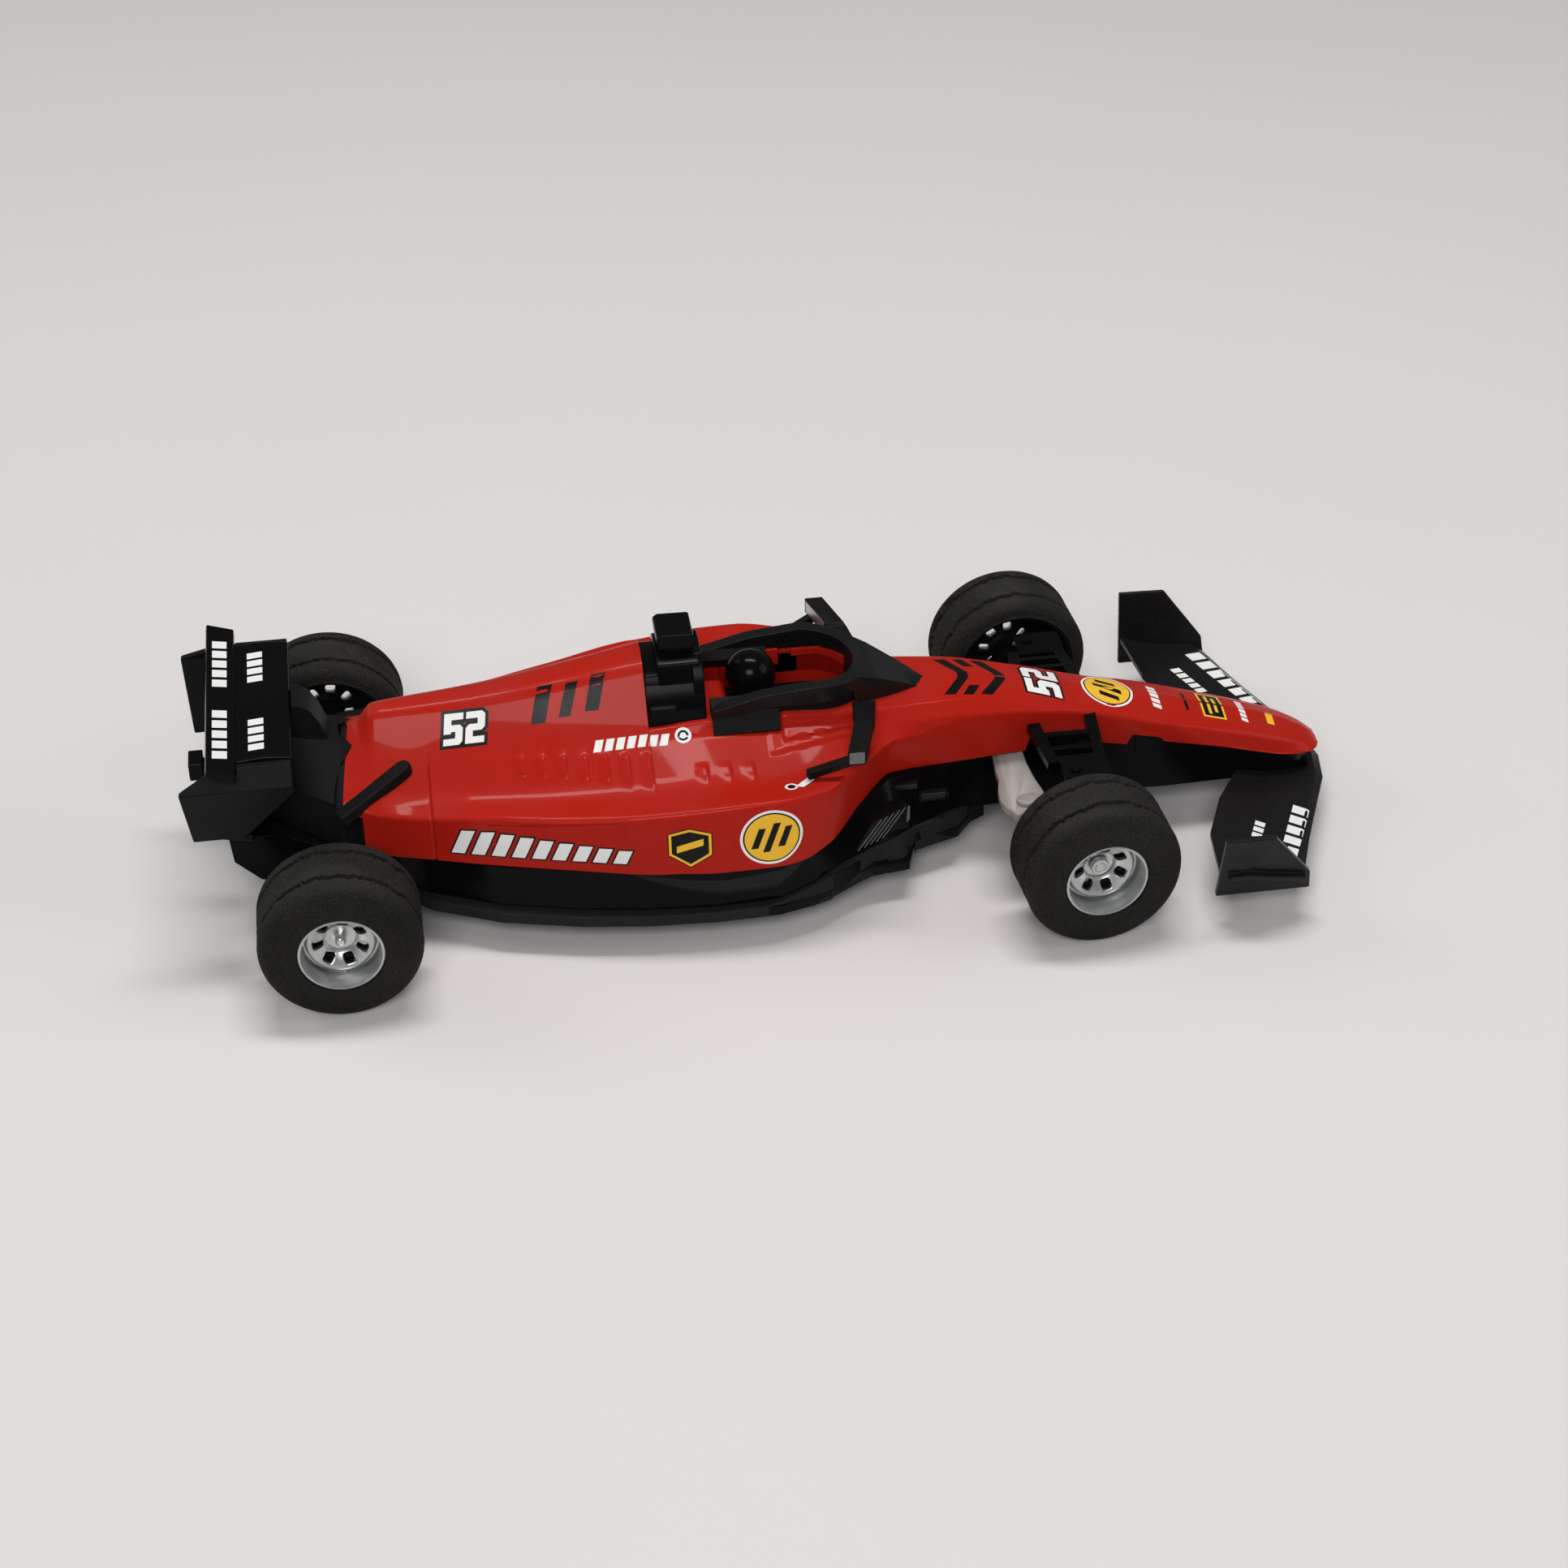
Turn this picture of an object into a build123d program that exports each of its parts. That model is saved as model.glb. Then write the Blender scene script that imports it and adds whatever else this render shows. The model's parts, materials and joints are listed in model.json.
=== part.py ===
from build123d import *

import os
from math import cos, radians, sin

# Open wheel racing car: a small die-cast toy, built as its own separate pieces.
# Frame: millimetres, +X towards the nose, +Y the car's left, +Z up, ground at z = 0.
# The origin is on the ground, midway between the rearmost and the foremost edge.

os.makedirs("parts", exist_ok=True)

# ---- driving dimensions -------------------------------------------------------------
REAR_AXLE_X = -67.5
FRONT_AXLE_X = 44.5
TYRE_R = 12.1
RIM_R = 6.5
REAR_TYRE_W = 13.3
FRONT_TYRE_W = 12.9
REAR_FACE_Y = 35.1          # outer face of a rear tyre
FRONT_FACE_Y = 35.6         # outer face of a front tyre, wheels straight
AXLE_R = 0.8
RUN_GAP = 0.05              # radial running fit of a shaft in its bore

KINGPIN_Y = 18.0
STEER_REST = 4.6            # the front wheels stand turned a little to the left
STEER_ARM = 7.0             # kingpin to link pin
LINK_Z = 14.2               # underside of the steering link
LINK_T = 1.5

FLOOR_Z = 5.0               # underside of the base
FLOOR_T = 1.6
PART_Z = 13.0               # parting height of body and base along the sidepods
SIDES = (("left", 1), ("right", -1))


def finish(builder, label):
    """Label the piece and write it."""
    builder.part.label = label
    export_step(builder.part, f"parts/{label}.step")


def rectangle(x_range, half):
    """Corners of a rectangle in plan, the same each side of the centre line."""
    return [(x_range[0], -half), (x_range[1], -half), (x_range[1], half),
            (x_range[0], half)]


def cross_plane(x):
    """Plane across the car at x: local x is the car's Y, local y is height."""
    return Plane(origin=(x, 0, 0), x_dir=(0, 1, 0), z_dir=(1, 0, 0))


def side_plane(y):
    """Upright plane along the car at y: local x is the car's X, local y is height."""
    return Plane(origin=(0, y, 0), x_dir=(1, 0, 0), z_dir=(0, -1, 0))


def face(plane, points):
    """Flat face with straight sides through the points, on the plane."""
    with BuildSketch(plane) as flat:
        with BuildLine():
            Polyline(*points, close=True)
        make_face()
    return flat.sketch


def mirrored(points):
    """A half outline from bottom to top, closed on the other side of the centre line."""
    return points + [(-u, v) for u, v in reversed(points)]


# ---- red body -----------------------------------------------------------------------
# One row per cross-section, from the tail to the nose; half widths and heights of the
# lower edge, the outer ridge, the channel inside it, the waist and the top.
#          x  low_w  ridge_w,z   channel_w,z  waist_w,z   top_w,z
COVER = (
    (-65.4, 11.4, (11.8, 21.4), (10.4, 23.0), (5.2, 25.8), (1.2, 28.0)),
    (-62.6, 12.4, (12.8, 21.0), (10.6, 23.0), (5.4, 26.3), (1.4, 28.6)),
    (-60.2, 13.1, (13.6, 20.8), (10.6, 22.8), (5.6, 26.8), (1.7, 31.2)),
    (-57.0, 14.0, (14.6, 20.8), (10.6, 22.4), (5.6, 27.0), (2.0, 31.5)),
    (-45.0, 17.8, (18.2, 21.8), (13.5, 22.6), (6.6, 28.0), (2.4, 32.6)),
    (-32.0, 21.4, (21.8, 22.6), (16.5, 23.0), (8.0, 28.4), (3.0, 34.6)),
    (-20.0, 24.4, (24.2, 23.8), (18.5, 23.6), (9.4, 28.6), (3.6, 36.8)),
    (-10.5, 25.4, (24.9, 24.5), (19.0, 24.0), (10.0, 28.6), (4.0, 38.4)),
)
TUB = (
    (-10.5, 25.4, (24.9, 24.5), (19.0, 24.0), (10.0, 27.6), (8.9, 29.2)),
    (-2.0, 25.2, (24.8, 24.8), (18.5, 23.6), (9.6, 27.2), (8.8, 29.2)),
    (6.0, 21.8, (22.4, 24.6), (16.5, 23.4), (9.2, 26.8), (8.7, 28.8)),
    (12.0, 14.5, (16.5, 24.2), (13.0, 23.8), (8.9, 26.4), (8.2, 28.2)),
    (18.0, 8.8, (10.6, 23.6), (9.8, 24.4), (8.7, 25.8), (7.2, 27.6)),
    (28.0, 7.4, (8.3, 22.6), (8.3, 24.0), (8.0, 25.4), (6.0, 27.2)),
)
NOSE = (
    (28.0, 7.4, (8.3, 22.6), (8.3, 24.0), (8.0, 25.4), (6.0, 27.2)),
    (40.0, 6.0, (6.5, 20.5), (6.7, 22.4), (6.6, 24.0), (4.6, 25.2)),
    (50.0, 5.3, (5.5, 18.5), (5.6, 20.3), (5.4, 21.8), (3.8, 22.7)),
    (60.0, 6.2, (6.2, 16.5), (6.1, 17.8), (5.8, 19.2), (4.0, 20.0)),
    (70.0, 6.2, (6.1, 14.0), (5.8, 15.2), (5.4, 16.3), (3.7, 17.1)),
    (80.0, 5.8, (5.6, 11.0), (5.2, 12.0), (4.7, 13.2), (3.0, 13.9)),
    (86.0, 4.6, (4.3, 9.0), (3.9, 9.8), (3.3, 10.6), (2.0, 11.2)),
    (88.6, 2.4, (2.2, 7.6), (2.0, 8.0), (1.6, 8.4), (1.0, 8.7)),
)
BLOCK_Z = 6.4               # the sections start below the parting and are cut back to it
# The parting line between red body and black base, from the tail to the nose: x, z.
# It steps up twice, over the front suspension and over a smaller recess ahead of it.
PARTING = ((-66.0, PART_Z), (3.0, PART_Z), (17.0, 16.5), (39.4, 16.2), (40.2, 19.0),
           (49.6, 18.2), (50.4, 16.0), (55.6, 15.4), (56.6, 18.0), (60.4, 17.4),
           (61.4, 14.6), (72.0, 12.0), (80.0, 10.0), (90.0, 6.8))

TAIL_CUT_X = -62.9          # the tail is cut back below its overhanging shoulders
TAIL_CUT_Z = 20.2

AIRBOX_X = (-19.3, -10.5)
AIRBOX_Z = (28.6, 38.0)
COCKPIT_X = (-9.6, 13.5)
COCKPIT_W = 7.2
COCKPIT_FLOOR_Z = 19.0
COLLAR_W = 0.7              # the red rim that stands up round the opening
COLLAR_TOP_Z = 30.2
COLLAR_BACK = 0.2


def hull(rows):
    """Loft one run of the body's cross-sections."""
    sections = [face(cross_plane(x), mirrored([(low_w, BLOCK_Z), *rest]))
                for x, low_w, *rest in rows]
    loft(sections, ruled=True)


def below_parting(top_is_red):
    """Outline of what lies under (or over) the parting line, seen from the side."""
    limit = -5.0 if top_is_red else 60.0
    first, last = PARTING[0], PARTING[-1]
    return [(first[0] - 9.0, limit), (first[0] - 9.0, first[1]), *PARTING,
            (last[0] + 9.0, last[1]), (last[0] + 9.0, limit)]


def cut_at_parting(top_is_red):
    """Take away the side of the parting line that belongs to the other piece."""
    extrude(face(side_plane(0), below_parting(top_is_red)), amount=60, both=True,
            mode=Mode.SUBTRACT)


def cockpit_outline(height, grow=0.0):
    """Plan outline of the cockpit opening, with a rounded front, at a height."""
    back, front = COCKPIT_X[0] - grow, COCKPIT_X[1] + grow
    half = COCKPIT_W + grow
    shoulder = front - half * 1.1
    with BuildSketch(Plane.XY.offset(height)) as opening:
        with BuildLine():
            Line((back, -half), (shoulder, -half))
            ThreePointArc((shoulder, -half), (front, 0), (shoulder, half))
            Line((shoulder, half), (back, half))
            Line((back, half), (back, -half))
        make_face()
    return opening.sketch


def rim_outline(height, outer, inner=0.0):
    """A band round the front of the opening, between two distances out from its edge."""
    with BuildSketch(Plane.XY.offset(height)) as band:
        add(cockpit_outline(height, outer))
        add(cockpit_outline(height, inner), mode=Mode.SUBTRACT)
        add(face(Plane.XY.offset(height), rectangle((COCKPIT_X[0] - 9.0, COLLAR_BACK), 15)),
            mode=Mode.SUBTRACT)
    return band.sketch


with BuildPart() as body_shell:
    for run in (COVER, TUB, NOSE):
        hull(run)
    cut_at_parting(True)
    extrude(face(Plane.XY.offset(0), rectangle((TAIL_CUT_X - 9.0, TAIL_CUT_X), 20)),
            amount=TAIL_CUT_Z, mode=Mode.SUBTRACT)
    extrude(rim_outline(27.0, COLLAR_W), amount=COLLAR_TOP_Z - 27.0)
    extrude(cockpit_outline(COCKPIT_FLOOR_Z), amount=30, mode=Mode.SUBTRACT)
    extrude(face(Plane.XY.offset(AIRBOX_Z[0]), rectangle(AIRBOX_X, 15)), amount=20,
            mode=Mode.SUBTRACT)
finish(body_shell, "body_shell")

# ---- black base ---------------------------------------------------------------------
# Half outline of the floor in plan, tail to nose: x, half width.
FLOOR_EDGE = ((-58.0, 13.0), (-54.0, 16.8), (-43.6, 21.6), (-31.5, 24.6), (-21.8, 26.0),
              (-12.0, 26.6), (-2.0, 26.5), (3.3, 25.0), (6.3, 23.8), (6.9, 22.6),
              (13.1, 19.2), (19.1, 18.5), (20.8, 13.8), (22.4, 12.7), (28.0, 11.4),
              (30.6, 8.0), (33.0, 6.6))
# The floor's raised rim beside the cockpit: x, half width at its foot and at its top, and
# the height of its top.
RIM_ROWS = ((-2.0, 26.2, 26.0, 6.8), (3.3, 24.9, 24.6, 8.2), (6.3, 23.6, 23.2, 8.8),
            (13.1, 19.1, 18.8, 9.2), (19.1, 18.4, 14.6, 9.0), (20.8, 13.7, 12.8, 8.6),
            (28.0, 11.2, 9.8, 7.4), (30.6, 7.8, 7.4, 7.0))
BRACKET = ((21.8, 26.6), 10.8, (11.8, 13.2))    # x range, half width, z range
# The base's side wall: x, half width at its foot on the floor, half width at its top.
WALL = ((-58.0, 11.5, 11.0), (-54.0, 14.8, 13.6), (-43.6, 19.6, 17.4), (-31.5, 22.8, 20.6),
        (-21.8, 24.4, 23.2), (-12.0, 25.2, 24.6), (-2.0, 25.1, 24.2), (3.7, 24.0, 22.0),
        (8.6, 21.5, 16.6), (13.0, 19.6, 12.6), (17.0, 17.8, 9.4), (21.0, 13.8, 8.4),
        (26.0, 10.4, 7.4), (33.0, 6.4, 6.4))
WALL_TOP_Z = 18.0
NOSE_BEAM = ((20.0, 6.4), (33.0, 6.4), (50.0, 5.4), (62.0, 5.9), (74.0, 5.5), (86.0, 4.0))
BEAM_Z = 6.8
BEAM_TOP_Z = 20.0
LINK_SLOT_X = (33.0, 41.4)
LINK_SLOT_Z = 13.4


def plan(height, edge):
    """Face at a height, inside a half outline in plan and its mirror image."""
    return face(Plane.XY.offset(height), [*edge, *[(x, -w) for x, w in reversed(edge)]])


with BuildPart() as base_pan:
    extrude(plan(FLOOR_Z, FLOOR_EDGE), amount=FLOOR_T)
    walls = [face(cross_plane(x), mirrored([(foot, FLOOR_Z + FLOOR_T), (top, WALL_TOP_Z)]))
             for x, foot, top in WALL]
    loft(walls, ruled=True)
    rims = [face(cross_plane(x), mirrored([(foot, FLOOR_Z), (top, height)]))
            for x, foot, top, height in RIM_ROWS]
    loft(rims, ruled=True)
    along, half, (low, high) = BRACKET
    extrude(face(Plane.XY.offset(low), rectangle(along, half)), amount=high - low)
    extrude(plan(BEAM_Z, NOSE_BEAM), amount=BEAM_TOP_Z - BEAM_Z)
    cut_at_parting(False)
    extrude(face(Plane.XY.offset(LINK_SLOT_Z), rectangle(LINK_SLOT_X, 15)), amount=6,
            mode=Mode.SUBTRACT)
finish(base_pan, "base_pan")

# Slanted guide vanes ahead of each sidepod, moulded with the plate that carries them. The
# plate's outer face stands upright on VANE_LINE in plan. Heights and x positions are given
# as seen from the side.
VANE_LINE = ((9.6, 19.8), (19.8, 13.6))
VANE_PLATE = ((9.6, 8.8), (13.4, 13.8), (19.8, 13.8), (19.8, 8.8))
VANE_FEET = (9.4, 11.1, 12.8, 14.5)
VANE_LEAN = 4.4             # how far a vane's top stands ahead of its foot
VANE_T = 0.8
VANE_Z = (9.0, 13.5)
VANE_STAND = 0.9            # how far the vanes stand proud of the plate
VANE_DEPTH = 8.0
for side, way in SIDES:
    (x0, w0), (x1, w1) = VANE_LINE
    run = Vector(x1 - x0, way * (w1 - w0), 0)
    upright = Plane(origin=(x0, way * w0, 0), x_dir=run * -way, z_dir=(w0 - w1, way * (x1 - x0), 0))
    stretch = run.length / (x1 - x0)

    def on_plate(points):
        """Points given by x and height, in the upright plane."""
        return [(-way * (x - x0) * stretch, z) for x, z in points]

    with BuildPart() as side_vane:
        extrude(face(upright, on_plate(VANE_PLATE)), amount=-VANE_DEPTH)
        for foot in VANE_FEET:
            rib = [(foot, VANE_Z[0]), (foot + VANE_T, VANE_Z[0]),
                   (foot + VANE_T + VANE_LEAN, VANE_Z[1]), (foot + VANE_LEAN, VANE_Z[1])]
            extrude(face(upright, on_plate(rib)), amount=VANE_STAND)
        add(base_pan.part, mode=Mode.SUBTRACT)
        add(body_shell.part, mode=Mode.SUBTRACT)
    finish(side_vane, f"side_vane_{side}")

# ---- rear: gearbox case, cover, rain light, arms ---------------------------------------
CASE_W = 11.0
CASE_SIDE = ((-58.0, 5.0), (-58.0, PART_Z), (-66.0, PART_Z), (-76.0, 17.4), (-83.0, 17.4),
             (-82.6, 13.0), (-79.0, 9.4), (-70.0, 6.2))
with BuildPart() as gearbox_case:
    extrude(face(side_plane(0), CASE_SIDE), amount=CASE_W, both=True)
    with Locations(Plane(origin=(REAR_AXLE_X, 0, TYRE_R), z_dir=(0, 1, 0))):
        Cylinder(AXLE_R + RUN_GAP, 3 * CASE_W, mode=Mode.SUBTRACT)
finish(gearbox_case, "gearbox_case")

# The cover's cross-sections, front to back: x, half width and height at foot, waist, top.
COVER_ROWS = ((-62.9, (10.8, 13.0), (10.4, 20.2), (3.4, 27.0)),
              (-65.4, (10.6, 13.0), (10.2, 20.4), (3.6, 28.0)),
              (-72.0, (8.6, 13.0), (7.6, 22.5), (3.8, 29.6)),
              (-79.0, (6.4, 13.0), (5.4, 24.0), (3.0, 29.0)))
WING_Z = 33.4               # underside of the rear wing's main plane
# The cover's hump that carries the wing, seen from the side.
HUMP = ((-66.6, 27.6), (-68.0, 31.4), (-69.2, 33.6), (-70.6, 34.6), (-71.8, 34.9),
        (-71.8, WING_Z), (-79.0, WING_Z), (-79.0, 27.0))
HUMP_W = 3.0
with BuildPart() as gearbox_cover:
    loft([face(cross_plane(x), mirrored(list(rest))) for x, *rest in COVER_ROWS],
         ruled=True)
    extrude(face(side_plane(0), HUMP), amount=HUMP_W, both=True)
    add(gearbox_case.part, mode=Mode.SUBTRACT)
    add(body_shell.part, mode=Mode.SUBTRACT)
finish(gearbox_cover, "gearbox_cover")

LIGHT_X = (-88.2, -86.0)
LIGHT_Z = (22.2, 25.2)
LIGHT_STEM_X = (-86.0, -79.0)
with BuildPart() as rain_light:
    extrude(face(Plane.XY.offset(LIGHT_Z[0]), rectangle(LIGHT_X, 2.0)),
            amount=LIGHT_Z[1] - LIGHT_Z[0])
    extrude(face(Plane.XY.offset(LIGHT_Z[0]), rectangle(LIGHT_STEM_X, 1.2)), amount=2.0)
finish(rain_light, "rain_light")

ARM_R = 1.05
ARM_INNER = (-56.0, 8.0, 25.0)
ARM_OUTER = (-66.4, 13.0, 19.4)
for side, way in SIDES:
    inner, outer = (Vector(x, way * y, z) for x, y, z in (ARM_INNER, ARM_OUTER))
    with BuildPart() as rear_arm:
        with BuildSketch(Plane(origin=inner, z_dir=outer - inner)):
            Circle(ARM_R)
        extrude(amount=(outer - inner).length)
        for end in (inner, outer):
            with Locations(end):
                Sphere(ARM_R)
        add(body_shell.part, mode=Mode.SUBTRACT)
    finish(rear_arm, f"rear_arm_{side}")

# ---- rear wing --------------------------------------------------------------------------
WING_MAIN = ((-71.9, WING_Z), (-72.1, 34.4), (-76.0, 34.8), (-80.2, 34.4), (-80.2, WING_Z))
WING_FLAP = ((-80.2, WING_Z), (-80.2, 34.9), (-84.2, 36.2), (-84.5, 35.0))
WING_HALF = 15.6
FLAP_HALF = 19.6
# Cross-section of an end plate: half width and height, shoulder, elbow and foot.
PLATE_T = 1.2
PLATE_OUTER = ((WING_HALF + PLATE_T, 34.2), (18.9, 31.4), (14.9, 20.2))
PLATE_SIDE = ((-72.2, 36.0), (-72.2, 30.0), (-81.0, 19.2), (-87.8, 19.6), (-88.7, 31.4),
              (-84.4, WING_Z), (-80.2, WING_Z), (-80.2, 36.0))
with BuildPart() as rear_wing:
    extrude(face(side_plane(0), WING_MAIN), amount=WING_HALF, both=True)
    extrude(face(side_plane(0), WING_FLAP), amount=FLAP_HALF, both=True)
finish(rear_wing, "rear_wing")

rear_plates = []
for side, way in SIDES:
    band = [(way * w, z) for w, z in PLATE_OUTER]
    band += [(way * (w - PLATE_T), z) for w, z in reversed(PLATE_OUTER)]
    with BuildPart() as rear_plate:
        extrude(face(cross_plane(-90.0), band), amount=20)
        extrude(face(side_plane(0), PLATE_SIDE), amount=30, both=True, mode=Mode.INTERSECT)
    finish(rear_plate, f"rear_plate_{side}")
    rear_plates.append(rear_plate.part)

BEAM_WING = ((-84.0, 20.2), (-84.0, 21.4), (-79.0, 20.4), (-79.0, 19.4))
with BuildPart() as beam_wing:
    extrude(face(side_plane(0), BEAM_WING), amount=PLATE_OUTER[2][0], both=True)
    for neighbour in (gearbox_cover.part, rain_light.part, *rear_plates):
        add(neighbour, mode=Mode.SUBTRACT)
finish(beam_wing, "beam_wing")

# ---- airbox, camera pod, cockpit --------------------------------------------------------
AIRBOX_ROWS = ((8.2, 28.6), (7.8, 30.6), (6.6, 33.4), (5.0, 36.4), (3.0, 38.0))
with BuildPart() as airbox:
    extrude(face(cross_plane(AIRBOX_X[0]), mirrored(list(AIRBOX_ROWS))),
            amount=AIRBOX_X[1] - AIRBOX_X[0])
    with BuildSketch(cross_plane(AIRBOX_X[1])):
        with Locations((0, 34.6)):
            Ellipse(2.6, 2.2)
    extrude(amount=-3.0, mode=Mode.SUBTRACT)
finish(airbox, "airbox")

POD_X = (-16.8, -11.2)
with BuildPart() as camera_pod:
    extrude(face(Plane.XY.offset(38.0), rectangle(POD_X, 2.4)), amount=1.2)
    extrude(face(Plane.XY.offset(39.2), rectangle(POD_X, 3.3)), amount=2.4)
    fillet(camera_pod.faces().sort_by(Axis.Z)[-1].edges(), 0.5)
finish(camera_pod, "camera_pod")

COAMING_W = 1.4             # outer face of the black wall round the red rim
COAMING_Z = (26.0, 30.9)
PAD_X = (-9.6, 0.6)
# Section of a headrest pad: half width and height, round its outline.
PAD = ((6.6, 28.6), (5.6, 30.4), (6.4, 31.8), (8.8, 30.6), (10.4, 27.6), (9.6, 26.6))
with BuildPart() as cockpit_surround:
    extrude(rim_outline(COAMING_Z[0], COAMING_W, COLLAR_W),
            amount=COAMING_Z[1] - COAMING_Z[0])
    for _, way in SIDES:
        pad = [(way * w, z) for w, z in PAD]
        extrude(face(cross_plane(PAD_X[0]), pad), amount=PAD_X[1] - PAD_X[0])
    for neighbour in (body_shell.part, airbox.part):
        add(neighbour, mode=Mode.SUBTRACT)
finish(cockpit_surround, "cockpit_surround")

HELMET_X = -2.6
HELMET_Z = 31.2
HELMET_R = 3.9
with BuildPart() as driver:
    with BuildSketch(Plane.XY.offset(COCKPIT_FLOOR_Z)):
        with Locations((HELMET_X - 1.0, 0)):
            RectangleRounded(8.0, 9.2, 2.4)
    extrude(amount=7.0)
    fillet(driver.edges().group_by(Axis.Z)[-1], 1.6)
    with Locations((HELMET_X, 0, 27.0)):
        Cylinder(2.6, 4.0)
    with Locations((HELMET_X, 0, HELMET_Z)):
        Sphere(HELMET_R)
finish(driver, "driver")

# Top edge of the guard's ring and of its front fairing, seen from the side.
GUARD_TOP = ((-9.6, 31.0), (-2.0, 33.0), (6.0, 33.8), (13.0, 33.0), (16.0, 31.8),
             (20.4, 29.3), (24.2, 27.0), (26.2, 26.2))
GUARD_UNDER = ((26.2, 24.0), (12.4, 24.0), (12.4, 30.9), (-2.0, 30.9), (-9.6, 28.9))
FAIRING = ((9.0, 7.6), (19.6, 3.7), (23.8, 2.0), (25.6, 1.1), (26.2, 0.0))
GUARD_OUTER = 9.2
GUARD_BAR = 2.1
GUARD_FRONT = 15.2
with BuildPart() as head_guard:
    with BuildSketch(Plane.XY.offset(24.0)):
        with BuildLine():
            Line((-9.6, -GUARD_OUTER), (5.0, -GUARD_OUTER))
            ThreePointArc((5.0, -GUARD_OUTER), (GUARD_FRONT, 0), (5.0, GUARD_OUTER))
            Line((5.0, GUARD_OUTER), (-9.6, GUARD_OUTER))
            Line((-9.6, GUARD_OUTER), (-9.6, -GUARD_OUTER))
        make_face()
        with BuildLine():
            Polyline(*FAIRING, *[(x, -w) for x, w in reversed(FAIRING[:-1])], close=True)
        make_face()
        inner = GUARD_OUTER - GUARD_BAR
        with BuildLine():
            Line((-12.0, -inner), (5.0, -inner))
            ThreePointArc((5.0, -inner), (GUARD_FRONT - GUARD_BAR, 0), (5.0, inner))
            Line((5.0, inner), (-12.0, inner))
            Line((-12.0, inner), (-12.0, -inner))
        make_face(mode=Mode.SUBTRACT)
    extrude(amount=12)
    extrude(face(side_plane(0), [*GUARD_TOP, *GUARD_UNDER]), amount=20, both=True,
            mode=Mode.INTERSECT)
    add(body_shell.part, mode=Mode.SUBTRACT)
    add(cockpit_surround.part, mode=Mode.SUBTRACT)
finish(head_guard, "head_guard")

# ---- mirrors ----------------------------------------------------------------------------
# Cross-sections of a mirror from root to tip: x, y, z of its middle, length, height.
MIRROR_ROWS = ((13.8, 7.0, 28.0, 3.6, 2.2), (12.9, 13.2, 28.9, 3.0, 1.6),
               (12.6, 13.8, 28.9, 2.8, 2.6), (10.4, 21.4, 28.9, 2.8, 2.6))
STAY = ((10.8, 20.0, 27.9), (3.4, 18.4, 24.6))
for side, way in SIDES:
    rows = [face(Plane(origin=(x, way * y, z), x_dir=(1, 0, 0), z_dir=(0, way, 0)),
                 [(-long / 2, -tall / 2), (long / 2, -tall / 2), (long / 2, tall / 2),
                  (-long / 2, tall / 2)]) for x, y, z, long, tall in MIRROR_ROWS]
    top, foot = (Vector(x, way * y, z) for x, y, z in STAY)
    with BuildPart() as mirror:
        loft(rows, ruled=True)
        with BuildSketch(Plane(origin=top, x_dir=(0, 1, 0), z_dir=foot - top)):
            Rectangle(1.4, 1.2)
        extrude(amount=(foot - top).length)
        add(body_shell.part, mode=Mode.SUBTRACT)
        add(head_guard.part, mode=Mode.SUBTRACT)
        add(cockpit_surround.part, mode=Mode.SUBTRACT)
    finish(mirror, f"mirror_{side}")

# ---- front wing ---------------------------------------------------------------------------
# Sections of the wing in half: y, front edge x, rear edge x, height of the front edge.
FRONT_ROWS = ((0.0, 89.0, 75.6, 5.6), (6.0, 88.0, 73.4, 5.6), (13.0, 85.0, 69.0, 5.8),
              (22.0, 81.2, 65.2, 6.2), (33.0, 77.0, 63.8, 6.8))
END_FOOT_Y = 31.6
END_Z = 5.2
END_LEAN = 12.5             # degrees outwards from upright
END_T = 1.0
END_SIDE = ((63.6, 0.0), (63.8, 12.4), (71.4, 12.2), (77.8, 3.6), (78.2, 0.0))
LEDGE = ((65.0, 4.2), (65.0, 5.2), (68.0, 5.3), (71.0, 4.6), (77.0, 3.6), (77.0, 2.6),
         (71.0, 3.6), (68.0, 4.3))
LEDGE_STAND = 0.9


def wing_section(row, way):
    """Cambered profile of the front wing, thin and turned up at its rear edge."""
    y, lead, trail, z = row
    outline = [(lead, z), (lead - 1.4, z + 0.9), (trail + 5.0, z + 1.5), (trail, z + 3.0),
               (trail, z + 2.0), (trail + 5.0, z + 0.2), (lead - 1.4, z - 0.5)]
    return face(side_plane(way * y), outline)


def end_plane(way):
    """Leaning plane of a front end plate: local x runs along it, local y up it."""
    lean = radians(END_LEAN)
    outward = (0, way * cos(lean), -sin(lean))
    return Plane(origin=(0, way * END_FOOT_Y, END_Z), x_dir=(-way, 0, 0), z_dir=outward)


with BuildPart() as front_wing:
    for way in (1, -1):
        loft([wing_section(row, way) for row in FRONT_ROWS], ruled=True)
    for way in (1, -1):
        with BuildSketch(end_plane(way)):
            Rectangle(400, 60)
        extrude(amount=8, mode=Mode.SUBTRACT)
    add(base_pan.part, mode=Mode.SUBTRACT)
    add(body_shell.part, mode=Mode.SUBTRACT)
finish(front_wing, "front_wing")

for side, way in SIDES:
    with BuildPart() as front_plate:
        extrude(face(end_plane(way), [(-way * x, s) for x, s in END_SIDE]), amount=END_T)
        extrude(face(end_plane(way), [(-way * x, s) for x, s in LEDGE]),
                amount=END_T + LEDGE_STAND)
    finish(front_plate, f"front_plate_{side}")

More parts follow.
